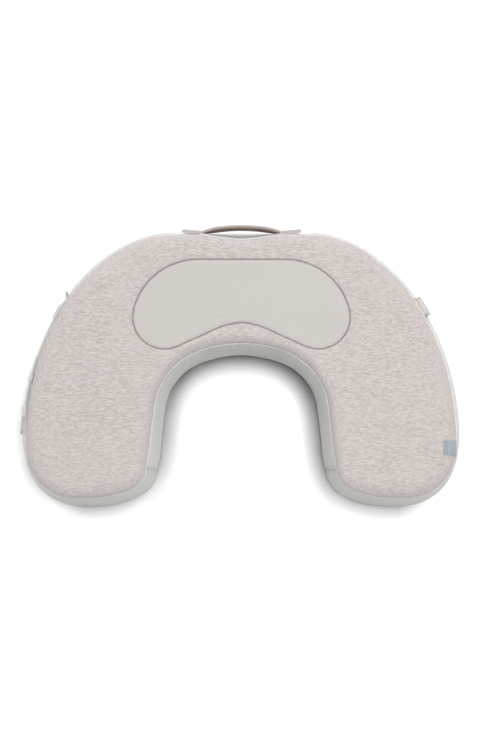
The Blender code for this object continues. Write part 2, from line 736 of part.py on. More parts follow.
def make_socket(axis):
    """A hollow body, open at its lower end, with a window for each prong. It is built from its bar down."""
    near = WEBBING_HALF + CHEEK_CLEAR
    cheek_y, cheek_z = (-2.2, 2.2), (SOCKET_TOP - 1, 2.2)
    socket = boxes("buckle_socket", "grey_plastic", [
        ((-BUCKLE_HALF, BUCKLE_HALF), (SOCKET_NEAR, SOCKET_FAR), (SOCKET_BOTTOM, SOCKET_TOP)),
        ((near, BUCKLE_HALF), cheek_y, cheek_z),
        ((-BUCKLE_HALF, -near), cheek_y, cheek_z),
    ], axis)
    bar = loft(bmesh.new(), round_bar(SOCKET_BAR, BUCKLE_HALF - 0.6))
    combine(socket, cutter("socket_bar", bar, axis), "UNION")
    inside = (SOCKET_NEAR + SOCKET_SHELL, SOCKET_FAR - SOCKET_SHELL)
    for name, x, z in (
        ("socket_mouth", (-near, near), (SOCKET_BOTTOM - 5, SOCKET_TOP - 5)),
        ("socket_windows", (-BUCKLE_HALF - 5, BUCKLE_HALF + 5), SOCKET_WINDOW),
    ):
        combine(socket, cutter(name, box(bmesh.new(), x, inside, z), axis), "DIFFERENCE")


# ---- label --------------------------------------------------------------------------------------------
def make_label():
    """A blank tag sewn into the seam of the right leg, folded up over the rounded edge."""
    below, above = LABEL_FACES
    foot_z = SEAM_Z + 1.2

    def over_edge(clear):
        points = [(clear * 1.2, foot_z)]
        for angle in (20, 40, 60, 80):
            c = direction(angle)
            inwards, up = SHOULDER * (1 - c.x), (HEIGHT - SEAM_Z) * c.y
            points.append((clear * c.x - inwards, SEAM_Z + up + clear * c.y))
        return points + [(-SHOULDER - 1, HEIGHT + clear), (-LABEL_LIES, HEIGHT + clear)]

    section = over_edge(above) + over_edge(below)[::-1]
    count = 6
    places = [LABEL_FROM + (LABEL_TO - LABEL_FROM) * k / count for k in range(count + 1)]
    hinge = place((LABEL_FROM + LABEL_TO) / 2, 1.0, foot_z)
    lofted("label_tag", "label_fabric", [[place(s, o, z) for o, z in section] for s in places], pivot=hinge)


def main():
    for obj in list(bpy.data.objects):
        bpy.data.objects.remove(obj)
    make_top()
    make_walls()
    make_filling()
    make_zip()
    make_handle()
    make_left_strap()
    make_right_buckle()
    make_label()


main()
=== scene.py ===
"""Looks of the nursing pillow: its sewn cover, carry handle, zip, waist strap, buckle and label.

Lengths are in millimetres until a mesh is made. The frame is the CAD model's: +Z up, +X the pillow's right
side, +Y its back, and the legs of the U point to -Y.
"""

import math

import bpy
import numpy as np
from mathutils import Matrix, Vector, noise
from mathutils.bvhtree import BVHTree
from mathutils.geometry import delaunay_2d_cdt
from mathutils.kdtree import KDTree


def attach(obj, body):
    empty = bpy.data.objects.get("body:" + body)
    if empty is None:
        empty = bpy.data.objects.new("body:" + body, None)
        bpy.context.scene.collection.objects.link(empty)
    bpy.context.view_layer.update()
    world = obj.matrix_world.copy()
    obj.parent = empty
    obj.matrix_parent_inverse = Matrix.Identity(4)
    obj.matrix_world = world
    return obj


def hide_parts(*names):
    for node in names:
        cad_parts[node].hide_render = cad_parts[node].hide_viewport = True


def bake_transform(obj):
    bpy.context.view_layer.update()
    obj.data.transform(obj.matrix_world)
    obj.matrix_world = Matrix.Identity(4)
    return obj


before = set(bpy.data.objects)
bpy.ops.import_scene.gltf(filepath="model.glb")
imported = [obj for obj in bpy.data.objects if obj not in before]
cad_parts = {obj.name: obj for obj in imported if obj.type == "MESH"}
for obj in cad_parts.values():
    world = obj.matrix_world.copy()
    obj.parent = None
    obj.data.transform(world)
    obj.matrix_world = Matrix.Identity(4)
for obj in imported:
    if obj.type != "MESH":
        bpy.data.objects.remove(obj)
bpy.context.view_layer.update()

MM = 0.001


# ---- sizes ----
HEIGHT = 120.0
SEAM_Z = 106.0  # where the top is sewn to the walls
SHOULDER = 14.0  # how far the rounded top edge reaches in from the seam
FLARE = 13.0  # how much further out the walls stand at the floor than at the seam
CURL = 8.5  # how far out of the seam outline the walls meet the underside
CURL_Z = 6.0  # where they begin to turn under
LEAN = math.atan2(FLARE, SEAM_Z)

# Half of the outline of the seam round the top, from the middle of the back: a straight is (length,) and an
# arc is (radius, turn in degrees, left positive). A length of None is worked out.
BACK_Y, FRONT_Y = 77.5, -79.5
PILLOW = [
    (97.0,), (150.0, -33.0), (252.0, -27.0), (368.0, -33.0), (70.0, -87.0), (None,),
    (155.0, -23.0), (36.0, -60.0), (None,), (99.0, 62.0), (175.0, 21.0),
]  # fmt: skip
FLANK = 3  # the piece of the outline that the strap lies along
TIP_CORNER = 8  # the piece of the outline that starts at the seam between the two side walls
BEAN_BACK_Y = 41.0
BEAN = [(63.0,), (95.0, -76.0), (46.0, -128.5), (None,), (80.0, 24.5)]

SCOOP_DEPTH = 6.5  # less than the CAD's, so that no more of the wall under it shows than in the photo
SCOOP_HALF, SCOOP_FOOT_Z = 58.0, 45.0

CELL, BASE_CELL = 5.0, 12.0  # the cover's mesh, before it is subdivided, and the underside's
CLOTH = 1.6  # the cover's thickness
BULGE_CAP = 4.5  # no point of the cover moves further than this when it is filled
SEAM_STEP = 1.2  # between the points of a seam that is drawn in
SETTLE_ROUNDS, SEAM_ROUNDS, CORD_ROUNDS = 3, 8, 4  # to even the filled cover, the bean's line and its cord
# Each seam of the cover: how deep and how wide it pulls, how high its gathers are and how far they reach.
SEAMS = {
    "seam": (0.8, 2.4, 0.9, 9.0),
    "bean": (1.1, 2.6, 0.2, 8.0),
    "corner": (0.9, 2.4, 0.7, 8.0),
    "hem": (0.8, 2.4, 0.8, 8.0),
}

ZIP_Z, ZIP_HALF, ZIP_SLOT = 30.0, 92.0, 5.5
ZIP_TEETH_HALF, TOOTH_PITCH = 87.0, 2.6

HANDLE_Z, HANDLE_HALF_WIDTH = 82.0, 14.0
HANDLE_END, HANDLE_FOLD, GRIP_HALF = 85.0, 57.0, 36.0  # from its middle: the end, the stitches, the grip
HANDLE_ARCH, HANDLE_LIFT, HANDLE_CLEAR = 6.6, 2.4, 0.6  # how far its middle, ends and sewn parts stand off
HANDLE_OUTER, HANDLE_OUTER_THICKNESS = 3.85, 2.8  # the outer layer's middle, from the handle's inner face
GRIP_LEAN = math.radians(3)

WEBBING, WEBBING_HALF = 1.3, 12.5
BAR_WRAP = 2.6  # the radius at which webbing turns round a bar
STRAP_Z, STRAP_START, STRAP_END = 80.0, 287.0, 452.0
STRAP_ROOT, STRAP_INNER, STRAP_OUTER, STRAP_BAR = 1.3, 2.4, 4.9, 5.0  # distances off the wall
KEEPER_AT = STRAP_END - 45
SOCKET_AT, SOCKET_Z, SOCKET_BAR = 298.0, 84.0, 3.5

LABEL_FROM, LABEL_TO = 498.0, 521.0
LABEL_LIES = 19.0  # how far in from the seam its free end lies
LABEL_GAP, LABEL_THICKNESS = 0.35, 1.1

STITCH_PITCH, STITCH_LENGTH, STITCH_RADIUS, STITCH_SIDES = 3.4, 2.3, 0.32, 6
# The rings of thread that make a stitch: the place along it as a part of its length, and its thickness and
# height as parts of its radius.
STITCH = ((-0.5, 0.35, -0.7), (-0.3, 1.0, 0.15), (0.3, 1.0, 0.15), (0.5, 0.35, -0.7))
TUBE_SIDES = 8
SIDES = ((1, "right"), (-1, "left"))
UPRIGHT = Vector((0, 1, 1))  # picks the depth and the height of a place


# ---- outlines ----
def spaced(first, last, count):
    """count numbers from first to last."""
    return [first + (last - first) * k / (count - 1) for k in range(count)]


def direction(degrees):
    return Vector((math.cos(math.radians(degrees)), math.sin(math.radians(degrees))))


def left_of(vector):
    return Vector((-vector.y, vector.x))


def arc_travel(heading, radius, turn):
    """The way from the start of an arc to its end."""
    side = math.copysign(1.0, turn)
    return radius * side * (left_of(direction(heading)) - left_of(direction(heading + turn)))


class Outline:
    """A closed outline, the same on both sides of X = 0. A place on it is s, the distance along it from the
    middle of the back: positive on the right half and negative on the left."""

    def __init__(self, back_y, pieces, front_y=None):
        self.start = Vector((0.0, back_y))
        end, free = self.lay(pieces, [0.0, 0.0])
        if front_y is None:
            self.lay(pieces, [-end.x / free[0].x])
        else:
            a, b = free
            gap = Vector((0.0, front_y)) - end
            self.lay(pieces, [gap.cross(b) / a.cross(b), a.cross(gap) / a.cross(b)])

    def lay(self, pieces, lengths):
        """Lays the pieces in a row, with these lengths where they have none, and returns its end and the
        directions of the pieces without a length."""
        self.pieces = []  # (start s, length, start point, heading, radius or None, turn)
        s, heading, point, free = 0.0, 0.0, self.start.copy(), []
        for piece in pieces:
            radius, turn = piece if len(piece) == 2 else (None, 0.0)
            if radius:
                length, travel = radius * math.radians(abs(turn)), arc_travel(heading, radius, turn)
            else:
                length = piece[0]
                if length is None:
                    length = lengths[len(free)]
                    free.append(direction(heading))
                travel = length * direction(heading)
            self.pieces.append((s, length, point.copy(), heading, radius, turn))
            s, heading = s + length, heading + turn
            point += travel
        self.half = s
        return point, free

    def at(self, s):
        """The point, the tangent (towards greater s) and the outward normal at s."""
        away = min(abs(s), self.half)
        start, length, point, heading, radius, turn = [p for p in self.pieces if p[0] <= away + 1e-9][-1]
        along = min(away - start, length)
        swept = turn * along / length
        here = point + (arc_travel(heading, radius, swept) if radius else along * direction(heading))
        tangent = direction(heading + swept)
        normal = left_of(tangent)
        if s < 0:
            here = Vector((-here.x, here.y))
            tangent = Vector((tangent.x, -tangent.y))
            normal = Vector((-normal.x, normal.y))
        return here, tangent, normal

    def round_places(self, stations, cell):
        """Places once round, about cell apart, with one at each station on each half."""
        marks = sorted({0.0, self.half, *stations})
        places = [0.0]
        for a, b in zip(marks, marks[1:]):
            count = max(1, round((b - a) / cell))
            places += [a + (b - a) * (k + 1) / count for k in range(count)]
        return places + [-s for s in places[-2:0:-1]]


pillow = Outline(BACK_Y, PILLOW, FRONT_Y)
bean = Outline(BEAN_BACK_Y, BEAN)
WALL_SEAM = pillow.pieces[TIP_CORNER][0]


# ---- the pillow's surface ----
def ramp(value, zero_at, one_at):
    return min(1.0, max(0.0, (value - zero_at) / (one_at - zero_at)))


def smooth(value, zero_at, one_at):
    t = ramp(value, zero_at, one_at)
    return t * t * (3 - 2 * t)


def scoop(x, z):
    """The hollow for the fingers, behind the handle."""
    if abs(x) >= SCOOP_HALF:
        return 0.0
    return SCOOP_DEPTH * math.cos(math.pi * x / 2 / SCOOP_HALF) ** 2 * ramp(z, SCOOP_FOOT_Z, SEAM_Z)


def lean(z):
    return FLARE * (1 - z / SEAM_Z)


def place(s, offset, z):
    """The point at s, offset outwards from the seam outline, at height z."""
    here, _, normal = pillow.at(s)
    point = here + offset * normal
    if here.y > 0:
        point.y -= scoop(here.x, z)
    return Vector((point.x, point.y, z))


def on_wall(s, z, off=0.0):
    return place(s, lean(z) + off, z)


def wall_up(s):
    return (place(s, lean(SEAM_Z), SEAM_Z) - place(s, lean(0), 0)).normalized()


# ---- node materials ----
class Nodes:
    """A material written as expressions: an input is a number, a colour or another node's output."""

    def __init__(self, name, **shader):
        self.material = bpy.data.materials.new(name)
        self.material.use_nodes = True
        self.tree = self.material.node_tree
        self.shader = self.tree.nodes["Principled BSDF"]
        self.wire(self.shader, shader)

    def wire(self, node, values):
        for key, value in values.items():
            socket = node.inputs[key if isinstance(key, int) else key.replace("_", " ")]
            if isinstance(value, bpy.types.NodeSocket):
                self.tree.links.new(value, socket)
            else:
                socket.default_value = value

    def add(self, kind, values, output=0, **settings):
        """An output of a new node with these settings and these values at its inputs."""
        node = self.tree.nodes.new("ShaderNode" + kind)
        for key, value in settings.items():
            setattr(node, key, value)
        self.wire(node, values)
        return node.outputs[output]

    def math(self, operation, a, b=0.0):
        return self.add("Math", {0: a, 1: b}, operation=operation)

    def plus(self, a, b):
        return self.math("ADD", a, b)

    def times(self, a, b):
        return self.math("MULTIPLY", a, b)

    def size(self, a):
        return self.math("ABSOLUTE", a)

    def mm(self, uv=False, scale=(1.0, 1.0, 1.0)):
        """Millimetres along each axis of the object, or along and across a strip, times scale."""
        source = self.tree.nodes.new("ShaderNodeTexCoord").outputs["UV" if uv else "Object"]
        size = 1.0 if uv else 1 / MM
        return self.add("Mapping", {"Vector": source, "Scale": tuple(size * x for x in scale)})

    def noise(self, vector, scale=1.0, detail=2.0, roughness=0.5):
        values = {"Vector": vector, "Scale": scale, "Detail": detail, "Roughness": roughness}
        return self.add("TexNoise", values)

    def grain(self, scale, low=0.3, high=0.7, uv=False, detail=2.0, roughness=0.5):
        """Noise with this scale along each axis, brought from the range low to high into 0 to 1."""
        return self.span(self.noise(self.mm(uv, scale), detail=detail, roughness=roughness), low, high)

    def span(self, value, low, high, to_low=0.0, to_high=1.0):
        """value, brought from the range low to high into the range to_low to to_high."""
        ends = {"From Min": low, "From Max": high, "To Min": to_low, "To Max": to_high}
        return self.add("MapRange", {"Value": value, **ends})

    def mix(self, factor, a, b):
        a, b = (c if isinstance(c, bpy.types.NodeSocket) else (*c, 1.0) for c in (a, b))
        return self.add("Mix", {0: factor, 6: a, 7: b}, output=2, data_type="RGBA")

    def axes(self, vector):
        node = self.tree.nodes.new("ShaderNodeSeparateXYZ")
        self.wire(node, {0: vector})
        return node.outputs

    def wave(self, value, pitch):
        """A sine along value with this pitch, from -1 to 1."""
        return self.math("SINE", self.times(value, 2 * math.pi / pitch))

    def finish(self, colour, height=None, depth=0.2, roughness=None):
        """Sets the colour and a bump whose full height is depth millimetres."""
        self.wire(self.shader, {"Base Color": colour})
        if roughness is not None:
            self.wire(self.shader, {"Roughness": roughness})
        if height is not None:
            bump = self.add("Bump", {"Height": height, "Distance": depth * MM, "Strength": 1.0})
            self.wire(self.shader, {"Normal": bump})
        return self.material


def heather_knit():
    """Fine jersey of mixed pink and grey yarn, whose flecks run along X."""
    n = Nodes("heather_knit", Roughness=0.92, Sheen_Weight=0.25, Sheen_Roughness=0.5)
    flecks = n.grain((0.165, 0.78, 0.78), 0.36, 0.64, detail=3.0, roughness=0.62)
    fine = n.grain((0.5, 1.9, 1.9), roughness=0.6)
    patches = n.grain((0.016, 0.009, 0.01), 0.35, 0.65, detail=1.0)
    yarn = n.mix(flecks, (0.294, 0.261, 0.25), (0.462, 0.428, 0.41))
    yarn = n.mix(n.times(patches, 0.25), yarn, (0.405, 0.378, 0.36))
    yarn = n.mix(n.times(fine, 0.25), yarn, (0.52, 0.478, 0.462))
    x, y, z = n.axes(n.mm())
    loops = n.times(n.wave(x, 1.1), n.wave(n.plus(y, z), 0.9))
    height = n.plus(n.times(loops, 0.3), fine)
    return n.finish(yarn, height, depth=0.22)


def smooth_weave():
    """The close, smooth fabric of the bean-shaped panel."""
    n = Nodes("smooth_weave", Roughness=0.72, Sheen_Weight=0.3, Sheen_Roughness=0.4)
    slub = n.grain((0.05, 0.6, 0.6))
    tone = n.grain((0.012, 0.02, 0.02), detail=1.0)
    colour = n.mix(slub, (0.37, 0.348, 0.329), (0.392, 0.37, 0.351))
    colour = n.mix(n.times(tone, 0.3), colour, (0.402, 0.383, 0.364))
    x, y, _ = n.axes(n.mm())
    threads = n.times(n.wave(x, 0.55), n.wave(y, 0.55))
    return n.finish(colour, threads, depth=0.05)


def wall_weave(name="wall_weave", dark=(0.45, 0.443, 0.424), light=(0.56, 0.552, 0.531)):
    """Plain grey weave with slubs. It follows the wall, by the distance along it and up it."""
    n = Nodes(name, Roughness=0.88, Sheen_Weight=0.2, Sheen_Roughness=0.5)
    along, up, _ = n.axes(n.mm(uv=True))
    slub = n.grain((0.14, 1.3, 1.0), uv=True, detail=3.0)
    warp = n.grain((1.3, 0.12, 1.0), uv=True, detail=3.0)
    colour = n.mix(n.times(n.plus(slub, warp), 0.5), dark, light)
    threads = n.times(n.wave(along, 1.4), n.wave(up, 1.4))
    height = n.plus(threads, n.times(slub, 0.8))
    return n.finish(colour, height, depth=0.14)


def webbing_weave(name, dark, light, rib=2.2, edge=WEBBING_HALF, dark_end_length=0.0):
    """Ribbed webbing: u runs along the strip and v across it, from its middle. Its colour is darker over
    this length from its first end."""
    n = Nodes(name, Roughness=0.85, Sheen_Weight=0.2)
    along, across, _ = n.axes(n.mm(uv=True))
    slant = n.size(n.math("PINGPONG", across, 3.0))
    ribs = n.wave(n.plus(along, n.times(slant, 0.6)), rib)
    cords = n.wave(across, 1.1)
    height = n.plus(ribs, n.times(cords, 0.6))
    border = n.span(n.size(across), edge - 1.6, edge - 1.1)
    fuzz = n.grain((0.9, 0.9, 1.0), uv=True, detail=3.0)
    # Painted shade: the colour follows the bump, darker in the grooves between the ribs and cords, with
    # random fuzz mixed in.
    tone = n.plus(n.times(n.span(height, -1.6, 1.6), 0.6), n.times(fuzz, 0.4))
    colour = n.mix(tone, dark, light)
    colour = n.mix(n.times(border, 0.35), colour, dark)
    # The colour is darker over this length from the first end, fading out over half as much again.
    if dark_end_length:
        colour = n.mix(n.span(along, dark_end_length, 1.5 * dark_end_length, 0.75, 0.0), colour, tuple(0.6 * c for c in dark))
    return n.finish(colour, height, depth=0.16)


def thread(name, colour):
    """Twisted sewing thread or cord."""
    n = Nodes(name, Roughness=0.6, Sheen_Weight=0.3)
    x, y, z = n.axes(n.mm())
    twist = n.wave(n.plus(n.plus(x, y), n.times(z, 1.7)), 0.9)
    shade = n.mix(n.span(twist, -1.0, 1.0), tuple(0.78 * c for c in colour), colour)
    return n.finish(shade, twist, depth=0.08)


def moulded_plastic(name, colour):
    """Satin moulded plastic with a fine spark-eroded grain and a few handling marks."""
    n = Nodes(name, Roughness=0.45)
    grain = n.noise(n.mm(), scale=4.0)
    marks = n.grain((0.5, 0.5, 0.12), 0.52, 0.7, detail=4.0, roughness=0.7)
    tone = n.mix(n.times(marks, 0.25), colour, tuple(min(1.0, 1.35 * c) for c in colour))
    roughness = n.span(marks, 0.0, 1.0, 0.42, 0.6)
    return n.finish(tone, grain, depth=0.03, roughness=roughness)


def plated_metal():
    """Satin plate, brushed along X, duller in patches."""
    n = Nodes("plated_metal", Metallic=1.0, Roughness=0.3)
    brushed = n.noise(n.mm(scale=(0.2, 6.0, 6.0)), detail=3.0)
    dull = n.grain((0.15, 0.15, 0.15), 0.35, 0.7, detail=3.0)
    colour = n.mix(dull, (0.40, 0.39, 0.375), (0.29, 0.28, 0.27))
    return n.finish(colour, brushed, depth=0.02, roughness=n.span(dull, 0.0, 1.0, 0.24, 0.42))


def open_foam(name, colour):
    """Cut polyurethane foam: a field of fine cells."""
    n = Nodes(name, Roughness=0.95)
    cells = n.add("TexVoronoi", {"Vector": n.mm(), "Scale": 0.8})
    # Painted shade: the colour is darker in the pits of the cells, where the bump is lowest.
    colour = n.mix(n.span(cells, 0.0, 0.7), tuple(0.7 * c for c in colour), colour)
    return n.finish(colour, cells, depth=0.4)


def label_satin():
    """Blank woven satin tape, with painted shade across it along the fold."""
    n = Nodes("label_satin", Roughness=0.55, Sheen_Weight=0.3)
    along, across, _ = n.axes(n.mm(uv=True))
    rows = n.wave(n.plus(along, n.times(across, 0.25)), 0.5)
    tone = n.grain((0.25, 1.6, 1.0), uv=True, detail=3.0)
    colour = n.mix(tone, (0.215, 0.245, 0.28), (0.27, 0.30, 0.335))
    # Painted shade: a darker line across the tape where it bends over the rounded edge of the leg.
    painted_fold_shade = n.span(n.size(n.math("SUBTRACT", along, 7.0)), 0.2, 1.8, 0.45, 0.0)
    colour = n.mix(painted_fold_shade, colour, (0.15, 0.175, 0.205))
    return n.finish(colour, rows, depth=0.06)


# ---- meshes ----
def new_mesh(name, verts, faces, slots=(), tags=None, uvs=None):
    """An object from points in millimetres, with a material index and UVs for each face where given."""
    mesh = bpy.data.meshes.new(name)
    points = [tuple(v) for v in np.asarray(verts, float) * MM]
    mesh.from_pydata(points, [], [tuple(map(int, face)) for face in faces])
    for material in slots:
        mesh.materials.append(material)
    if tags is not None:
        mesh.polygons.foreach_set("material_index", list(tags))
    if uvs is not None:
        layer = mesh.uv_layers.new(name="strip")
        layer.data.foreach_set("uv", [x for face in uvs for corner in face for x in corner])
    mesh.validate()
    mesh.shade_smooth()
    obj = bpy.data.objects.new(name, mesh)
    bpy.context.scene.collection.objects.link(obj)
    return obj


def read(obj, what):
    values = np.zeros(len(obj.data.vertices) * 3)
    obj.data.vertices.foreach_get(what, values)
    return values.reshape(-1, 3)


def points_of(obj):
    """Its vertices in millimetres, one row each."""
    return read(obj, "co") / MM


def normals_of(obj):
    return read(obj, "normal")


def set_points(obj, points):
    obj.data.vertices.foreach_set("co", (np.asarray(points) * MM).ravel())
    obj.data.update()


def applied(obj):
    """The same object with its modifiers applied."""
    graph = bpy.context.evaluated_depsgraph_get()
    mesh = bpy.data.meshes.new_from_object(obj.evaluated_get(graph))
    obj.modifiers.clear()
    obj.data = mesh
    return obj


def subdivide(obj):
    modifier = obj.modifiers.new("subdivision", "SUBSURF")
    modifier.levels = 1
    return applied(obj)


def belongs(obj, body, slot, *nodes):
    """Puts a piece on its body, in the place of these nodes of the CAD model. Its slot is not used."""
    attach(obj, body)
    if nodes:
        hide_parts(*nodes)
    return obj


def nearest(points, targets):
    """The distance from each point to the nearest target."""
    tree = KDTree(len(targets))
    for i, target in enumerate(targets):
        tree.insert(target, i)
    tree.balance()
    return np.array([tree.find(p)[2] for p in points])


def inside(points, loop):
    """Whether each 2-D point is inside a closed loop."""
    x, y = points[:, 0], points[:, 1]
    result = np.zeros(len(points), bool)
    for (ax, ay), (bx, by) in zip(loop, np.roll(loop, -1, axis=0)):
        crosses = (ay > y) != (by > y)
        with np.errstate(divide="ignore", invalid="ignore"):
            at = (bx - ax) * (y - ay) / (by - ay) + ax
        result ^= crosses & (x < at)
    return result


def fill(loops, cell):
    """Triangles over a closed 2-D loop. Its points come first, then those of any loop inside it."""
    fixed = np.vstack(loops)
    low, high = loops[0].min(0), loops[0].max(0)
    row = cell * math.sqrt(0.75)
    xs, ys = np.arange(low[0], high[0], cell), np.arange(low[1], high[1], row)
    grid = np.array([(x + cell / 2 * (j % 2), y) for j, y in enumerate(ys) for x in xs])
    grid = grid[inside(grid, loops[0])]
    gap = nearest([(*p, 0) for p in grid], [(*p, 0) for p in fixed])
    points = np.vstack([fixed, grid[gap > 0.62 * cell]])
    edges, start = [], 0
    for loop in loops:
        edges += [(start + i, start + (i + 1) % len(loop)) for i in range(len(loop))]
        start += len(loop)
    verts, _, faces, sources, _, _ = delaunay_2d_cdt([Vector(p) for p in points], edges, [], 1, 1e-4)
    back = {i: source[0] for i, source in enumerate(sources) if source}
    if len(verts) != len(points) or len(back) != len(points):
        raise RuntimeError("the fill added or lost points")
    return points, [[back[i] for i in face] for face in faces]


def ring(centre, across, up, radius, sides):
    turns = [direction(360 * k / sides) for k in range(sides)]
    return [centre + radius * (turn.x * across + turn.y * up) for turn in turns]


def ring_faces(rings, sides, closed=False, start=0):
    """The faces between rings of points that turn about the way ahead, and over both ends unless closed."""
    faces = []
    for i in range(rings if closed else rings - 1):
        a, b = start + i * sides, start + (i + 1) % rings * sides
        faces += [(a + k, a + (k + 1) % sides, b + (k + 1) % sides, b + k) for k in range(sides)]
    if not closed:
        last = start + (rings - 1) * sides
        faces += [tuple(range(start, start + sides))[::-1], tuple(range(last, last + sides))]
    return faces


def tube(name, path, radius, material, closed=True):
    """A round cord along a path, its cross-section carried along without twist. Open ends are tapered."""
    path = [Vector(p) for p in path]
    last = len(path) - 1
    verts = []
    side = Vector((0, 0, 1))
    for i, p in enumerate(path):
        before = path[i - 1 if closed else max(i - 1, 0)]
        after = path[(i + 1) % len(path) if closed else min(i + 1, last)]
        along = (after - before).normalized()
        side = (side - along * side.dot(along)).normalized()
        size = radius if closed or 0 < i < last else 0.35 * radius
        verts += ring(p, side, along.cross(side), size, TUBE_SIDES)
    return new_mesh(name, verts, ring_faces(len(path), TUBE_SIDES, closed), [material])


def distances(path):
    """How far along a path each of its points is."""
    run = [0.0]
    for a, b in zip(path, path[1:]):
        run.append(run[-1] + (b - a).length)
    return run


def strip(name, path, across, half, thickness, material, corner=0.45, rows=9, sense=1):
    """A band along a path. across holds the way over its width at each point. Its edges are rounded, and its
    weave is measured from the start of the path, backwards when sense is -1."""
    flat, low, high = half - corner, corner - thickness / 2, thickness / 2 - corner
    section = [(wide, -thickness / 2) for wide in spaced(-flat, flat, rows)] + [(half, low), (half, high)]
    section += [(wide, thickness / 2) for wide in spaced(flat, -flat, rows)] + [(-half, high), (-half, low)]
    verts = []
    for i, p in enumerate(path):
        along = (path[min(i + 1, len(path) - 1)] - path[max(i - 1, 0)]).normalized()
        side = (across[i] - along * across[i].dot(along)).normalized()
        verts += [p + wide * side + thick * along.cross(side) for wide, thick in section]
    weave = [(sense * run, wide) for run in distances(path) for wide, _ in section]
    faces = ring_faces(len(path), len(section))
    band = new_mesh(name, verts, faces, [material], uvs=[[weave[i] for i in face] for face in faces])
    band.data.set_sharp_from_angle(angle=math.radians(60))
    return band


def spline(points, step):
    """A smooth path through the points, about step apart (Catmull-Rom)."""
    p = [Vector(q) for q in points]
    p = [2 * p[0] - p[1]] + p + [2 * p[-1] - p[-2]]
    out = []
    for a, b, c, d in zip(p, p[1:], p[2:], p[3:]):
        count = max(1, round((c - b).length / step))
        for k in range(count):
            t = k / count
            square, cube = 2 * a - 5 * b + 4 * c - d, 3 * b - a - 3 * c + d
            out.append(0.5 * (2 * b + (c - a) * t + square * t**2 + cube * t**3))
    return out + [p[-2]]


def stitches(name, path, material, body="pillow"):
    """A row of sewn stitches along a path of (point, normal)."""
    run = distances([point for point, _ in path])
    verts, faces = [], []
    for at in np.arange(STITCH_PITCH / 2, run[-1] - STITCH_LENGTH / 2, STITCH_PITCH):
        i = min(max(k for k in range(len(run)) if run[k] <= at), len(run) - 2)
        (point, normal), (ahead, normal_ahead) = path[i:i + 2]
        t = (at - run[i]) / max(1e-6, run[i + 1] - run[i])
        centre, up = point.lerp(ahead, t), normal.lerp(normal_ahead, t).normalized()
        along = (ahead - point).normalized()
        faces += ring_faces(len(STITCH), STITCH_SIDES, start=len(verts))
        for way, size, height in STITCH:
            middle = centre + way * STITCH_LENGTH * along + height * STITCH_RADIUS * up
            verts += ring(middle, up.cross(along), up, size * STITCH_RADIUS, STITCH_SIDES)
    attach(new_mesh(name, verts, faces, [material]), body)


# ---- the cover ----
JERSEY, BEAN_TAG, OUTER, INNER, UNDER, SLOT = range(6)


def cover_rows():
    """(offset, z) of each ring of the cover, from the top's flat edge to the underside's, and the index of
    the ring at the seam."""
    rows = []
    for k in range(6):
        angle = math.radians(90 - 18 * k)
        rows.append((-SHOULDER * (1 - math.cos(angle)), SEAM_Z + (HEIGHT - SEAM_Z) * math.sin(angle)))
    seam = len(rows) - 1
    levels = [SEAM_Z, ZIP_Z + ZIP_SLOT, ZIP_Z - ZIP_SLOT, CURL_Z]
    for a, b in zip(levels, levels[1:]):
        count = round((a - b) / CELL)
        rows += [(lean(z), z) for z in (a + (b - a) * (k + 1) / count for k in range(count))]
    rows += [(FLARE - 0.5, 3.2), (FLARE - 1.9, 1.1), (CURL, 0.0)]
    return rows, seam


def cover_blank():
    """The cover before it is filled: one closed mesh, its faces tagged by panel. Also the points along each
    seam and on the floor, and the place (s, z) of each point of the walls and edges."""
    rows, seam = cover_rows()
    places = pillow.round_places([ZIP_HALF, WALL_SEAM], CELL)
    count = len(places)
    last = (len(rows) - 1) * count
    verts = [place(s, offset, z) for offset, z in rows for s in places]
    faces, tags, uvs = [], [], []
    run = distances([Vector(row) for row in rows])
    for r, (upper, lower) in enumerate(zip(rows, rows[1:])):
        for c in range(count):
            d = (c + 1) % count
            faces.append((r * count + c, r * count + d, (r + 1) * count + d, (r + 1) * count + c))
            a, b = places[c], places[d]
            if abs(a - b) > pillow.half:
                b += 2 * pillow.half
            uvs.append(((a, -run[r]), (b, -run[r]), (b, -run[r + 1]), (a, -run[r + 1])))
            middle, z = abs(a + b) / 2, (upper[1] + lower[1]) / 2
            if r < seam:
                tags.append(JERSEY)
            elif WALL_SEAM < middle < 2 * pillow.half - WALL_SEAM:
                tags.append(INNER)
            elif middle < ZIP_HALF and abs(z - ZIP_Z) < ZIP_SLOT:
                tags.append(SLOT)
            else:
                tags.append(OUTER)

    def fill_ring(first, cell, z, *inner):
        """Fills a ring of points: the numbers of its points, its triangles, and its points from above."""
        points, triangles = fill([np.array([v[:2] for v in verts[first:first + count]]), *inner], cell)
        numbers = [*range(first, first + count), *range(len(verts), len(verts) + len(points) - count)]
        verts.extend(Vector((*p, z)) for p in points[count:])
        return numbers, triangles, points

    bean_loop = np.array([bean.at(s)[0] for s in bean.round_places([], CELL)])
    numbers, triangles, points = fill_ring(0, CELL, HEIGHT, bean_loop)
    bean_line = numbers[count:count + len(bean_loop)]
    middles = np.array([points[face].mean(0) for face in triangles])
    for face, in_bean in zip(triangles, inside(middles, bean_loop)):
        faces.append([numbers[i] for i in face])
        tags.append(BEAN_TAG if in_bean else JERSEY)
        uvs.append([tuple(points[i]) for i in face])
    numbers, triangles, points = fill_ring(last, BASE_CELL, 0.0)
    for face in triangles:
        faces.append([numbers[i] for i in face[::-1]])
        tags.append(UNDER)
        uvs.append([tuple(points[i]) for i in face[::-1]])
    held = {
        "seam": range(seam * count, (seam + 1) * count),
        "bean": bean_line,
        "corner": [r * count + c for r in range(seam, len(rows)) for c in range(count)
                   if abs(abs(places[c]) - WALL_SEAM) < 0.01],
        "hem": range(last, last + count),
        "under": range(last + count, len(verts)),
    }
    where = {r * count + c: (s, z) for r, (_, z) in enumerate(rows) for c, s in enumerate(places)}
    return new_mesh("cover", verts, faces, [], tags, uvs), held, where


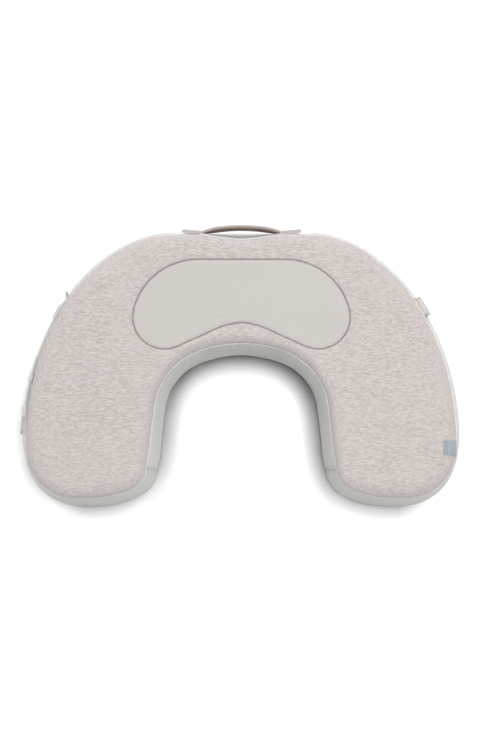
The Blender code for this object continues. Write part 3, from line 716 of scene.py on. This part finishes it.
def freedom(s, z):
    """How far the wall may bulge at s and z, from 0 to 1: not behind the zip, handle, strap or buckle."""
    blocks = (  # from and to, along the wall and up it
        (-ZIP_HALF - 8, ZIP_HALF + 8, 12, 48),
        (-HANDLE_END - 8, HANDLE_END + 8, 62, 102),
        (-STRAP_END - 45, -STRAP_START + 45, 60, 100),
        (SOCKET_AT - 24, SOCKET_AT + 24, 34, 104),
    )
    free = 1.0 - 0.6 * smooth(abs(s), WALL_SEAM, WALL_SEAM + 60)  # the inner wall is drawn tight
    for s0, s1, z0, z1 in blocks:
        away = max(s0 - s, s - s1, z0 - z, z - z1, 0.0)
        free = min(free, 0.08 + 0.92 * smooth(away, 0.0, 16.0))
    return free


def simulate(obj, held):
    """Fills the cover with pressure and returns where its points went, in millimetres."""
    group = obj.vertex_groups.new(name="held")
    group.add(held, 1.0, "REPLACE")
    cloth = obj.modifiers.new("cloth", "CLOTH")
    settings = cloth.settings
    settings.quality, settings.mass = 6, 0.25
    settings.tension_stiffness = settings.compression_stiffness = 18
    settings.shear_stiffness, settings.bending_stiffness = 6, 0.6
    settings.tension_damping = settings.compression_damping = settings.shear_damping = 8
    settings.vertex_group_mass = group.name
    settings.shrink_min = -0.012  # a little spare cloth
    settings.use_pressure = True
    settings.uniform_pressure_force = 4.0
    settings.effector_weights.gravity = 0.0
    cloth.collision_settings.use_collision = False
    scene = bpy.context.scene
    scene.frame_start, scene.frame_end = 1, 20
    cloth.point_cache.frame_start, cloth.point_cache.frame_end = scene.frame_start, scene.frame_end
    for number in range(scene.frame_start, scene.frame_end + 1):
        scene.frame_set(number)
    applied(obj)
    obj.vertex_groups.clear()
    scene.frame_set(scene.frame_start)
    return points_of(obj)


def settle(obj, step, fixed):
    """Evens out how far neighbouring points moved, apart from the fixed ones."""
    edges = np.array([tuple(edge.vertices) for edge in obj.data.edges])
    for _ in range(SETTLE_ROUNDS):
        total, count = step.copy(), np.ones((len(step), 1))
        for a, b in ((0, 1), (1, 0)):
            np.add.at(total, edges[:, a], step[edges[:, b]])
            np.add.at(count, edges[:, a], 1)
        even = total / count
        even[fixed] = step[fixed]
        step = even
    return step


def fill_cover(obj, held, where):
    """Lets the cloth settle over its filling, moving no point further than its place allows."""
    rest = points_of(obj)
    fixed = sorted({int(i) for name in held for i in held[name]})
    moved = simulate(obj, fixed)
    step = moved - rest
    length = np.linalg.norm(step, axis=1, keepdims=True)
    cap = np.full((len(rest), 1), BULGE_CAP)
    for i, (s, z) in where.items():
        cap[i] *= freedom(s, z)
    step = settle(obj, step * cap * np.tanh(length / cap) / np.maximum(length, 1e-6), fixed)
    result = rest + step
    result[:, 2] = np.maximum(result[:, 2], 0.0)
    set_points(obj, result)


def folds(x, y, z):
    """A slow noise over the cover, whose folds run up the walls."""
    return noise.noise(Vector((0.13 * x + 7.0, 0.13 * y, 0.03 * z)))


def sew(obj, seam_paths):
    """Draws the seams in, with the small gathers that run across them."""
    points, normals = points_of(obj), normals_of(obj)
    for path, depth, width, gather, reach in seam_paths:
        gap = nearest(points, path)
        for i in np.nonzero(gap < 4 * reach)[0]:
            pull = depth * math.exp(-((gap[i] / width) ** 2))
            fold = gather * math.exp(-gap[i] / reach) * folds(*points[i])
            points[i] += normals[i] * (fold - pull)
    points[:, 2] = np.maximum(points[:, 2], 0.0)
    set_points(obj, points)


def border_loop(obj, tag=0):
    """The points round the faces with this material, in order. Of several borders it is the longest."""
    uses, neighbours, loops = {}, {}, []
    for polygon in obj.data.polygons:
        if polygon.material_index == tag:
            for key in polygon.edge_keys:
                uses[key] = uses.get(key, 0) + 1
    for (a, b), count in uses.items():
        if count == 1:
            neighbours.setdefault(a, []).append(b)
            neighbours.setdefault(b, []).append(a)
    while neighbours:
        loop, ahead = [], [next(iter(neighbours))]
        while ahead:
            loop.append(ahead[0])
            ahead = [k for k in neighbours.pop(ahead[0]) if k in neighbours]
        loops.append(loop)
    return max(loops, key=len)


def evened(loop, rounds):
    """A closed path without its small wobbles."""
    for _ in range(rounds):
        loop = 0.5 * loop + 0.25 * (np.roll(loop, 1, axis=0) + np.roll(loop, -1, axis=0))
    return loop


def panel(cover, name, tag, material, slot, *nodes):
    """One panel of the cover as its own object, a closed sheet of the fabric's thickness."""
    source = cover.data
    uv = source.uv_layers[0].data
    used, faces, uvs = {}, [], []
    for polygon in source.polygons:
        if polygon.material_index == tag:
            faces.append([used.setdefault(v, len(used)) for v in polygon.vertices])
            uvs.append([tuple(uv[k].uv) for k in polygon.loop_indices])
    points = points_of(cover)[list(used)]
    obj = new_mesh(name, points, faces, [material], uvs=uvs)
    solid = obj.modifiers.new("cloth_thickness", "SOLIDIFY")
    solid.thickness = CLOTH * MM
    solid.offset = -1.0
    solid.use_even_offset = False
    return belongs(obj, "pillow", slot, *nodes)


def make_cover():
    cover, held, where = cover_blank()
    fill_cover(cover, held, where)
    points = [Vector(p) for p in points_of(cover)]
    paths = {name: [points[i] for i in held[name]] for name in SEAMS}
    for name in ("seam", "bean", "hem"):
        paths[name] = densify(paths[name])
    subdivide(cover)
    points = points_of(cover)
    line = border_loop(cover, BEAN_TAG)
    points[line] = evened(points[line], SEAM_ROUNDS)
    set_points(cover, points)
    sew(cover, [(path, *SEAMS[name]) for name, path in paths.items()])
    return cover


def densify(loop):
    """A closed path of points with more points between them."""
    out = []
    for a, b in zip(loop, loop[1:] + loop[:1]):
        count = max(1, round((b - a).length / SEAM_STEP))
        out += [a.lerp(b, k / count) for k in range(count)]
    return out


def border_cord(name, cover, lift, radius, material, slot, node, rounds=0):
    """A cord sewn round a panel."""
    loop = border_loop(cover)
    path = evened(points_of(cover)[loop] + lift * normals_of(cover)[loop], rounds)
    belongs(tube(name, path, radius, material), "pillow", slot, node)


def make_panels(cover):
    top = panel(cover, "top_cover", JERSEY, heather_knit(), "jersey_knit", "top_panel")
    bean_cover = panel(cover, "bean_cover", BEAN_TAG, smooth_weave(), "smooth_panel", "bean_panel")
    walls = wall_weave()
    panel(cover, "outer_wall_cover", OUTER, walls, "grey_fabric", "outer_wall_panel")
    panel(cover, "inner_wall_cover", INNER, walls, "grey_fabric", "inner_wall_panel")
    under = wall_weave("under_weave", (0.36, 0.36, 0.35), (0.46, 0.46, 0.45))
    panel(cover, "underside_cover", UNDER, under, "base_fabric", "bottom_panel")
    pale, dark = thread("pale_cord", (0.66, 0.65, 0.63)), thread("dark_cord", (0.17, 0.145, 0.133))
    border_cord("seam_cord", top, 0.65, 0.8, pale, "piping", "top_piping")
    border_cord("bean_cord", bean_cover, 0.4, 0.48, dark, "dark_cord", "bean_piping", CORD_ROUNDS)


# ---- handle ----
def arch(x):
    """How far the inner face of the handle stands off the wall."""
    if abs(x) < HANDLE_FOLD:
        return HANDLE_CLEAR + HANDLE_ARCH * (1 - (x / HANDLE_FOLD) ** 2)
    return HANDLE_CLEAR + HANDLE_LIFT * ((abs(x) - HANDLE_FOLD) / (HANDLE_END - HANDLE_FOLD)) ** 2


def handle_frame(x):
    """The ways out of the handle and up it at x: the grip leans out, and the ends lie along the wall."""
    tilt = -GRIP_LEAN + (LEAN + GRIP_LEAN) * smooth(abs(x), GRIP_HALF, HANDLE_FOLD + 8)
    return Vector((0, math.cos(tilt), math.sin(tilt))), Vector((0, -math.sin(tilt), math.cos(tilt)))


def handle_point(x, off):
    """A place this far off the wall. How deep the wall lies is taken from beside the scoop."""
    return on_wall(HANDLE_FOLD + 1, HANDLE_Z) * UPRIGHT + Vector((x, 0, 0)) + off * handle_frame(x)[0]


def handle_layer(name, side, stations, half, thickness, material, slot, *nodes):
    """One layer of one half of the handle. stations are (x, distance off the wall) from the middle out."""
    path = spline([handle_point(side * x, off) for x, off in stations], 1.5)
    across = [handle_frame(p.x)[1] for p in path]
    layer = strip(name, path, across, half, thickness, material, sense=side)
    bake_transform(layer)
    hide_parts(*nodes)


def make_handle():
    half, inset = HANDLE_HALF_WIDTH, 0.3  # the inset is the lining's
    pale = webbing_weave("handle_webbing", (0.32, 0.29, 0.272), (0.45, 0.415, 0.392), edge=half)
    brown = ((0.15, 0.092, 0.077), (0.23, 0.148, 0.123))
    dark = webbing_weave("handle_lining", *brown, rib=1.6, edge=half - inset)
    sewing = thread("pale_thread", (0.62, 0.58, 0.55))
    reach = [0, 6, 12, 18, 24, 30, 36, 42, 48, 52, HANDLE_FOLD, 62, 68, 74, 80, 84]
    # The outer layer turns in at its end and runs back under itself: (x, how far below its middle line).
    turn = [(85.4, -0.7), (85.2, -2.0), (83.4, -2.7)]
    back = [(79, -2.75), (72, -2.7), (65, -2.6), (59, -2.45)]
    outer = [(x, arch(x) + HANDLE_OUTER) for x in reach]
    outer += [(x, arch(reach[-1]) + HANDLE_OUTER + drop) for x, drop in turn]
    outer += [(x, arch(x) + HANDLE_OUTER + drop) for x, drop in back]
    layers = (  # name, points, off the inner face, narrower by, thickness, fabric, slot, nodes
        ("handle_core_", 11, 2.2, 1.6, 0.45, dark, "dark_lining", ()),
        ("handle_middle_", 11, 1.55, 0.2, 0.75, pale, "webbing", ()),
        ("handle_lining_", 10, 0.7, inset, 0.9, dark, "dark_lining", ("handle_grip_lining",)),
    )
    box = [(61, -11), (82, -11), (82, 11), (61, 11), (61, -11), (82, 11)]  # the stitches: along, across
    box_steps, stitch_off = 8, HANDLE_OUTER + HANDLE_OUTER_THICKNESS / 2 + 0.1
    for side, word in SIDES:
        handle_layer("handle_outer_" + word, side, outer, half, HANDLE_OUTER_THICKNESS, pale, "webbing",
                     "handle_grip", "handle_tab_" + word)
        for name, points, off, narrower, thickness, fabric, slot, nodes in layers:
            stations = [(x, arch(x) + off) for x in reach[:points]]
            handle_layer(name + word, side, stations, half - narrower, thickness, fabric, slot, *nodes)
        path = []
        for start, end in zip(box, box[1:]):
            for k in range(box_steps):
                x, across = Vector(start).lerp(Vector(end), k / box_steps)
                out, up = handle_frame(side * x)
                path.append((handle_point(side * x, arch(x) + stitch_off) + across * up, out))
        stitches("handle_stitches_" + word, path, sewing)


# ---- zip ----
ZIP_OUT = Vector((0, math.cos(LEAN), math.sin(LEAN)))
ZIP_UP = Vector((0, -math.sin(LEAN), math.cos(LEAN)))


def zip_point(x, out, up):
    return on_wall(0, ZIP_Z) * UPRIGHT + Vector((x, 0, 0)) + out * ZIP_OUT + up * ZIP_UP


def make_zip():
    tape = webbing_weave("zip_tape_weave", (0.34, 0.34, 0.33), (0.46, 0.46, 0.45), rib=1.2, edge=30.0)
    metal = plated_metal()
    for word, side in (("upper", 1), ("lower", -1)):
        path = [zip_point(x, -2.7, 7.6 * side) for x in spaced(-ZIP_HALF - 5, ZIP_HALF + 5, 40)]
        piece = strip("zip_tape_weave_" + word, path, [ZIP_UP] * len(path), 6.4, 0.8, tape, corner=0.2)
        belongs(piece, "pillow", "zip_tape", "zip_tape_" + word)
        zip_row(word, side, metal)
    end, edge, off = ZIP_HALF + 3, 9, 0.05
    # The row of stitches round the zip ends just before it reaches its start.
    corners = [(-end, -edge), (end, -edge), (end, edge), (-end, edge), (-end, -edge / 3)]
    path = [(zip_point(x, off, up), ZIP_OUT) for x, up in corners]
    stitches("zip_stitches", path, thread("grey_thread", (0.50, 0.50, 0.48)))
    for name in ("zip_stop_start", "zip_stop_end", "zip_slider", "zip_pull"):
        refine(name, metal, 0.25)


def zip_row(word, side, metal):
    """One row of teeth: a foot on the tape and a head that reaches past the middle."""
    shape = [(0.75, 0.9), (0.75, 3.0), (-0.75, 3.0), (-0.75, 0.9), (-0.45, 0.35), (0.45, 0.35)]
    layers = ((-2.25, 0.85), (-2.0, 1.0), (-0.85, 1.0), (-0.55, 0.8))  # depth, and size round the centre
    centre = 1.7
    first = -ZIP_TEETH_HALF + (0.0 if side > 0 else TOOTH_PITCH / 2)
    verts, faces = [], []
    for x in np.arange(first, ZIP_TEETH_HALF, TOOTH_PITCH):
        faces += ring_faces(len(layers), len(shape), start=len(verts))
        for out, size in layers:
            verts += [zip_point(x + along * size, out, side * (centre + (up - centre) * size))
                      for along, up in shape[::-side]]
    row = new_mesh("zip_teeth_fine_" + word, verts, faces, [metal])
    row.data.set_sharp_from_angle(angle=math.radians(40))
    belongs(row, "pillow", "zip_metal", "zip_teeth_" + word)


def repaint(node, material):
    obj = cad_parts[node]
    obj.data.materials.clear()
    obj.data.materials.append(material)
    return obj


def round_edges(obj, width, angle=40):
    bevel = obj.modifiers.new("rounded", "BEVEL")
    bevel.width, bevel.segments = width * MM, 2
    bevel.angle_limit = math.radians(angle)


def refine(node, material, width):
    """A CAD piece that stays: rounded edges and its own material."""
    round_edges(repaint(node, material), width)


# ---- waist strap ----
PLASTIC = moulded_plastic("buckle_plastic", (0.33, 0.31, 0.30))


def strap_stations():
    """(s, distance off the wall) along the strap: its loose tail, the sewn root, the flat length, the turn
    round the plug's bar, and the layer that comes back."""
    tail = [(-6.6, 4.3), (-8.2, 6.2), (-9.9, 8.4), (-11.2, 8.9), (-12.0, 8.1), (-11.4, 6.9), (-9.6, 4.7)]
    root = [(-7.6, 2.7), (-5, STRAP_ROOT), (0, STRAP_ROOT), (3.5, 2.2), (7, 3.1)]
    in_adjuster = [(18 + 11 * k, 3.2) for k in range(5)]
    flat = [(72 + 11.5 * k, STRAP_INNER) for k in range(8)]
    stations = [(STRAP_START + along, off) for along, off in tail + root + in_adjuster + flat]
    for turn in map(direction, range(-80, 101, 20)):
        stations.append((STRAP_END + BAR_WRAP * turn.x, STRAP_BAR + BAR_WRAP * turn.y))
    stations.append((STRAP_END - 10, STRAP_OUTER + 0.4))
    return stations + [(STRAP_END - 16 - 12 * k, STRAP_OUTER) for k in range(6)]


def make_strap():
    pale = webbing_weave("strap_webbing", (0.46, 0.45, 0.435), (0.62, 0.61, 0.59), dark_end_length=13.0)
    sewing = thread("strap_thread", (0.66, 0.64, 0.61))
    path = spline([on_wall(-s, STRAP_Z, off) for s, off in strap_stations()], 1.6)
    root = on_wall(-STRAP_START, STRAP_Z, STRAP_ROOT)
    ahead = (on_wall(-STRAP_START - 6, STRAP_Z, STRAP_ROOT) - root).normalized()
    across = [strap_up(p) for p in path]
    band = strip("waist_webbing", path, across, WEBBING_HALF, WEBBING, pale, corner=0.4)
    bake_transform(band)
    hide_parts("waist_strap", "strap_tab_left")
    for name, body, off, reach, places in (
        ("strap_root_stitches_", "pillow", STRAP_ROOT + 0.75, 11.5, (STRAP_START - 6, STRAP_START - 3.5)),
        ("strap_fold_stitches_", "waist_strap", STRAP_OUTER + 0.85, 11.0,
         (STRAP_END - 12, STRAP_END - 14.5, STRAP_END - 73)),
    ):
        for k, s in enumerate(places):
            heights = spaced(STRAP_Z - reach, STRAP_Z + reach, 9)
            stitches(name + str(k), [(on_wall(-s, z, off), wall_out(-s)) for z in heights], sewing, body)
    make_keeper(KEEPER_AT)
    bar, forward = on_wall(-STRAP_END, STRAP_Z, STRAP_BAR), -pillow.at(-STRAP_END)[1].to_3d()
    up, out = wall_up(-STRAP_END), wall_out(-STRAP_END)
    make_ribs("plug_ribs", "buckle_plug", [bar + down * forward + 2.65 * out for down in (8.2, 10.8)], up)
    for node in ("strap_adjuster", "buckle_plug", "buckle_prong_upper", "buckle_prong_lower",
                 "buckle_socket"):
        refine(node, PLASTIC, 0.45)


def wall_out(s):
    _, tangent, normal = pillow.at(s)
    out = wall_up(s).cross(tangent.to_3d())
    return out if out.to_2d().dot(normal) > 0 else -out


def strap_up(point):
    """The way up the wall nearest a point of the strap."""
    _, _, start, heading, radius, turn = pillow.pieces[FLANK]
    centre = start + radius * math.copysign(1.0, turn) * left_of(direction(heading))
    out = (point.to_2d() - Vector((-centre.x, centre.y))).normalized()
    return Vector((-math.sin(LEAN) * out.x, -math.sin(LEAN) * out.y, math.cos(LEAN)))


def make_keeper(s):
    """The elastic loop round both layers of the strap."""
    elastic = webbing_weave("keeper_elastic", (0.42, 0.41, 0.395), (0.60, 0.585, 0.565), rib=1.3, edge=6.0)
    half, reach, corner = WEBBING_HALF + 1.1, 2.65, 1.6
    origin, up, out = on_wall(-s, STRAP_Z, (STRAP_INNER + STRAP_OUTER) / 2), wall_up(-s), wall_out(-s)
    section = [(0, -reach), (0.6 * half, -reach)]  # half of it: up the wall, and out from it
    for turn in map(direction, range(-75, 76, 30)):
        away = reach - corner + corner * abs(turn.y)
        section.append((half - corner + corner * turn.x, math.copysign(away, turn.y)))
    section += [(0.6 * half, reach), (0, reach)]
    section += [(-u, v) for u, v in section[-2::-1]]
    path = spline([origin + u * up + v * out for u, v in section], 1.2)
    across = [up.cross(out)] * len(path)
    band = strip("keeper_loop", path, across, 6.0, 0.8, elastic, corner=0.3, rows=5)
    belongs(band, "strap_keeper", "webbing", "strap_keeper")


def make_ribs(name, body, middles, across):
    """Moulded grip ribs across the outer face of a piece of the buckle."""
    for k, middle in enumerate(middles):
        path = [middle + a * across for a in spaced(-8.5, 8.5, 12)]
        belongs(tube(f"{name}_{k}", path, 0.55, PLASTIC, closed=False), body, "grey_plastic")


def make_right_tab():
    """The webbing sewn to the right wall, folded round the bar of the socket."""
    soft = webbing_weave("tab_webbing", (0.40, 0.35, 0.335), (0.53, 0.475, 0.455))
    origin, up, out = on_wall(SOCKET_AT, SOCKET_Z), wall_up(SOCKET_AT), wall_out(SOCKET_AT)
    along = pillow.at(SOCKET_AT)[1].to_3d()
    stations = [(0.9, 16), (0.9, 8), (0.9, 1.0)]  # (out from the wall, up it)
    stations += [(SOCKET_BAR + BAR_WRAP * c.x, BAR_WRAP * c.y) for c in map(direction, range(180, 361, 20))]
    stations += [(5.9, 2.5), (4.6, 8.0), (2.9, 12.5), (2.3, 17.0)]
    path = spline([origin + o * out + u * up for o, u in stations], 1.2)
    band = strip("socket_tab", path, [along] * len(path), WEBBING_HALF, 1.1, soft, corner=0.35, rows=11)
    points = points_of(band)
    across, height = ((points - np.array(origin)) @ np.array(way) for way in (along, up))
    puff = np.clip((17 - height) / 8, 0, 1) * np.clip(height / 3 + 1, 0, 1)
    swell = 1.7 * (1 - (across / WEBBING_HALF) ** 2) * puff
    set_points(band, points + swell[:, None] * np.array(out))
    belongs(band, "pillow", "webbing", "strap_tab_right")
    row = [origin + a * along + 13.6 * up + 6.0 * out for a in spaced(-11, 11, 12)]
    stitches("tab_stitches", surface_path(tree_of(band), row), thread("tab_thread", (0.55, 0.50, 0.48)))
    middles = [origin + down * up + (SOCKET_BAR + 4.95) * out for down in (-10.5, -13.5, -16.5)]
    make_ribs("socket_ribs", "buckle_socket", middles, along)


# ---- label ----
def make_label(surface):
    """The blank tag: a folded tape over the rounded edge of the right leg, lying on the cover."""
    steps = [(0.6, SEAM_Z - 0.2)]  # (offset from the seam outline, height)
    for turn in map(direction, range(12, 91, 13)):
        steps.append((-SHOULDER * (1 - turn.x), SEAM_Z + (HEIGHT - SEAM_Z) * turn.y))
    steps += [(-offset, HEIGHT) for offset in spaced(SHOULDER, LABEL_LIES, 4)[1:]]
    stations = spaced(LABEL_FROM, LABEL_TO, 13)
    rows, columns = len(steps), len(stations)
    half = (LABEL_TO - LABEL_FROM) / 2
    across, along = spaced(-half, half, columns), 2.2  # the weave, over the tape and from row to row
    verts, faces, uvs = [], [], []
    for lift in (LABEL_GAP, LABEL_GAP + LABEL_THICKNESS):
        for r, (offset, z) in enumerate(steps):
            for k, s in enumerate(stations):
                hit, normal, _, _ = surface.find_nearest(place(s, offset, z))
                rise = 0.5 * (r / (rows - 1)) ** 3
                ripple = 0.18 * math.sin(2.1 * k) * r / rows
                verts.append(hit + (lift + rise + ripple) * normal)
    for layer, sense in ((0, 1), (1, -1)):
        for r in range(rows - 1):
            for k in range(columns - 1):
                corners = ((r, k), (r, k + 1), (r + 1, k + 1), (r + 1, k))[::sense]
                faces.append([(layer * rows + i) * columns + j for i, j in corners])
                uvs.append([(along * i, across[j]) for i, j in corners])
    rim = list(range(columns)) + [r * columns + columns - 1 for r in range(1, rows)]
    rim += [(rows - 1) * columns + k for k in range(columns - 2, -1, -1)]
    rim += [r * columns for r in range(rows - 2, 0, -1)]
    for a, b in zip(rim, rim[1:] + rim[:1]):
        faces.append((b, a, a + rows * columns, b + rows * columns))
        uvs.append([(0, 0), (0, 1), (1, 1), (1, 0)])
    label = new_mesh("label_fold", verts, faces, [label_satin()], uvs=uvs)
    round_edges(label, 0.3, 50)
    belongs(label, "label", "label_fabric", "label_tag")


# ---- seams ----
def tree_of(obj):
    """Its faces, to look for the nearest point on, in millimetres."""
    points = [tuple(p) for p in points_of(obj)]
    return BVHTree.FromPolygons(points, [tuple(face.vertices) for face in obj.data.polygons])


def surface_path(surface, points):
    """(point, normal) of the cover nearest each point."""
    return [surface.find_nearest(Vector(p))[:2] for p in points]


def make_wall_stitches(surface):
    sewing = thread("wall_thread", (0.52, 0.52, 0.50))
    for side, word in SIDES:
        for k, aside in enumerate((-3.2, 3.2)):
            points = [on_wall(side * (WALL_SEAM + aside), z, 1.0) for z in spaced(9, SEAM_Z - 4, 40)]
            stitches(f"corner_stitches_{word}_{k}", surface_path(surface, points), sewing)


# ---- camera and light ----
def make_floor():
    """A pale floor, darker where the front walls meet it, as in the photo, and white beyond the pillow."""
    bpy.ops.mesh.primitive_plane_add(size=12.0, location=(0, 0, -0.0003))
    floor = bpy.context.object
    floor.name = "floor"
    n = Nodes("floor", Roughness=0.9)
    # Painted shadow: where ambient occlusion is high near the walls that face the front, the floor is
    # darkened towards grey, most of all inside the U.
    shade = n.add("AmbientOcclusion", {"Distance": 0.045}, output=1, samples=8)
    x, y, _ = n.axes(n.mm())
    x = n.size(x)
    front = n.times(n.span(y, FRONT_Y - 4.5, FRONT_Y + 13.5, 1.0, 0.0), n.span(x, 235, 280, 1.0, 0.0))
    painted_contact_shadow = n.times(n.span(shade, 0.5, 0.97, 1.0, 0.0), n.times(front, n.span(x, 100, 150, 1.0, 0.5)))
    # Painted light: the floor is made brighter beyond the sides of the pillow, which washes out the shadows
    # cast there.
    pale = n.mix(n.span(x, 235, 285), (0.86,) * 3, (1.0,) * 3)
    floor.data.materials.append(n.finish(n.mix(painted_contact_shadow, pale, (0.13,) * 3)))


def make_light():
    world = bpy.data.worlds.new("studio")
    world.use_nodes = True
    colour, strength = world.node_tree.nodes["Background"].inputs[:2]
    colour.default_value, strength.default_value = (1, 1, 1, 1), 0.5
    bpy.context.scene.world = world
    aim = Vector((0, -0.1, 0))
    for name, location, size, power in (
        ("key", (0.36, 0.12, 2.8), 1.4, 86.0),
        ("back", (0.5, 2.4, 0.8), 1.2, 20.0),
        ("side", (-2.4, 0.3, 0.6), 1.2, 13.0),
    ):
        data = bpy.data.lights.new(name, "AREA")
        data.energy, data.size = power, size
        lamp = bpy.data.objects.new(name, data)
        lamp.location = location
        lamp.rotation_euler = (aim - lamp.location).to_track_quat("-Z", "Y").to_euler()
        bpy.context.scene.collection.objects.link(lamp)
    bpy.context.scene.view_settings.view_transform = "Standard"


def make_camera():
    """The photo's camera: almost straight above, a little in front of the middle."""
    data = bpy.data.cameras.new("camera")
    data.lens, data.sensor_width = 105.2, 36.0
    camera = bpy.data.objects.new("camera", data)
    camera.location = (-0.002, -0.25, 3.2015)
    camera.rotation_euler = (math.radians(2.5), 0, 0)
    bpy.context.scene.collection.objects.link(camera)
    bpy.context.scene.camera = camera


def make_filling():
    """The liner and foam inside the cover keep their CAD shapes."""
    liner = wall_weave("liner_weave", (0.66, 0.66, 0.64), (0.78, 0.78, 0.76))
    firm = open_foam("firm_foam", (0.74, 0.71, 0.60))
    soft = open_foam("soft_foam", (0.82, 0.80, 0.74))
    for node, material in (("foam_liner", liner), ("base_foam", firm), ("comfort_foam", soft)):
        repaint(node, material)


def main():
    cover = make_cover()
    surface = tree_of(cover)
    make_panels(cover)
    bpy.data.objects.remove(cover)
    make_wall_stitches(surface)
    make_label(surface)
    make_handle()
    make_zip()
    make_strap()
    make_right_tab()
    make_filling()
    make_floor()
    make_light()
    make_camera()


main()
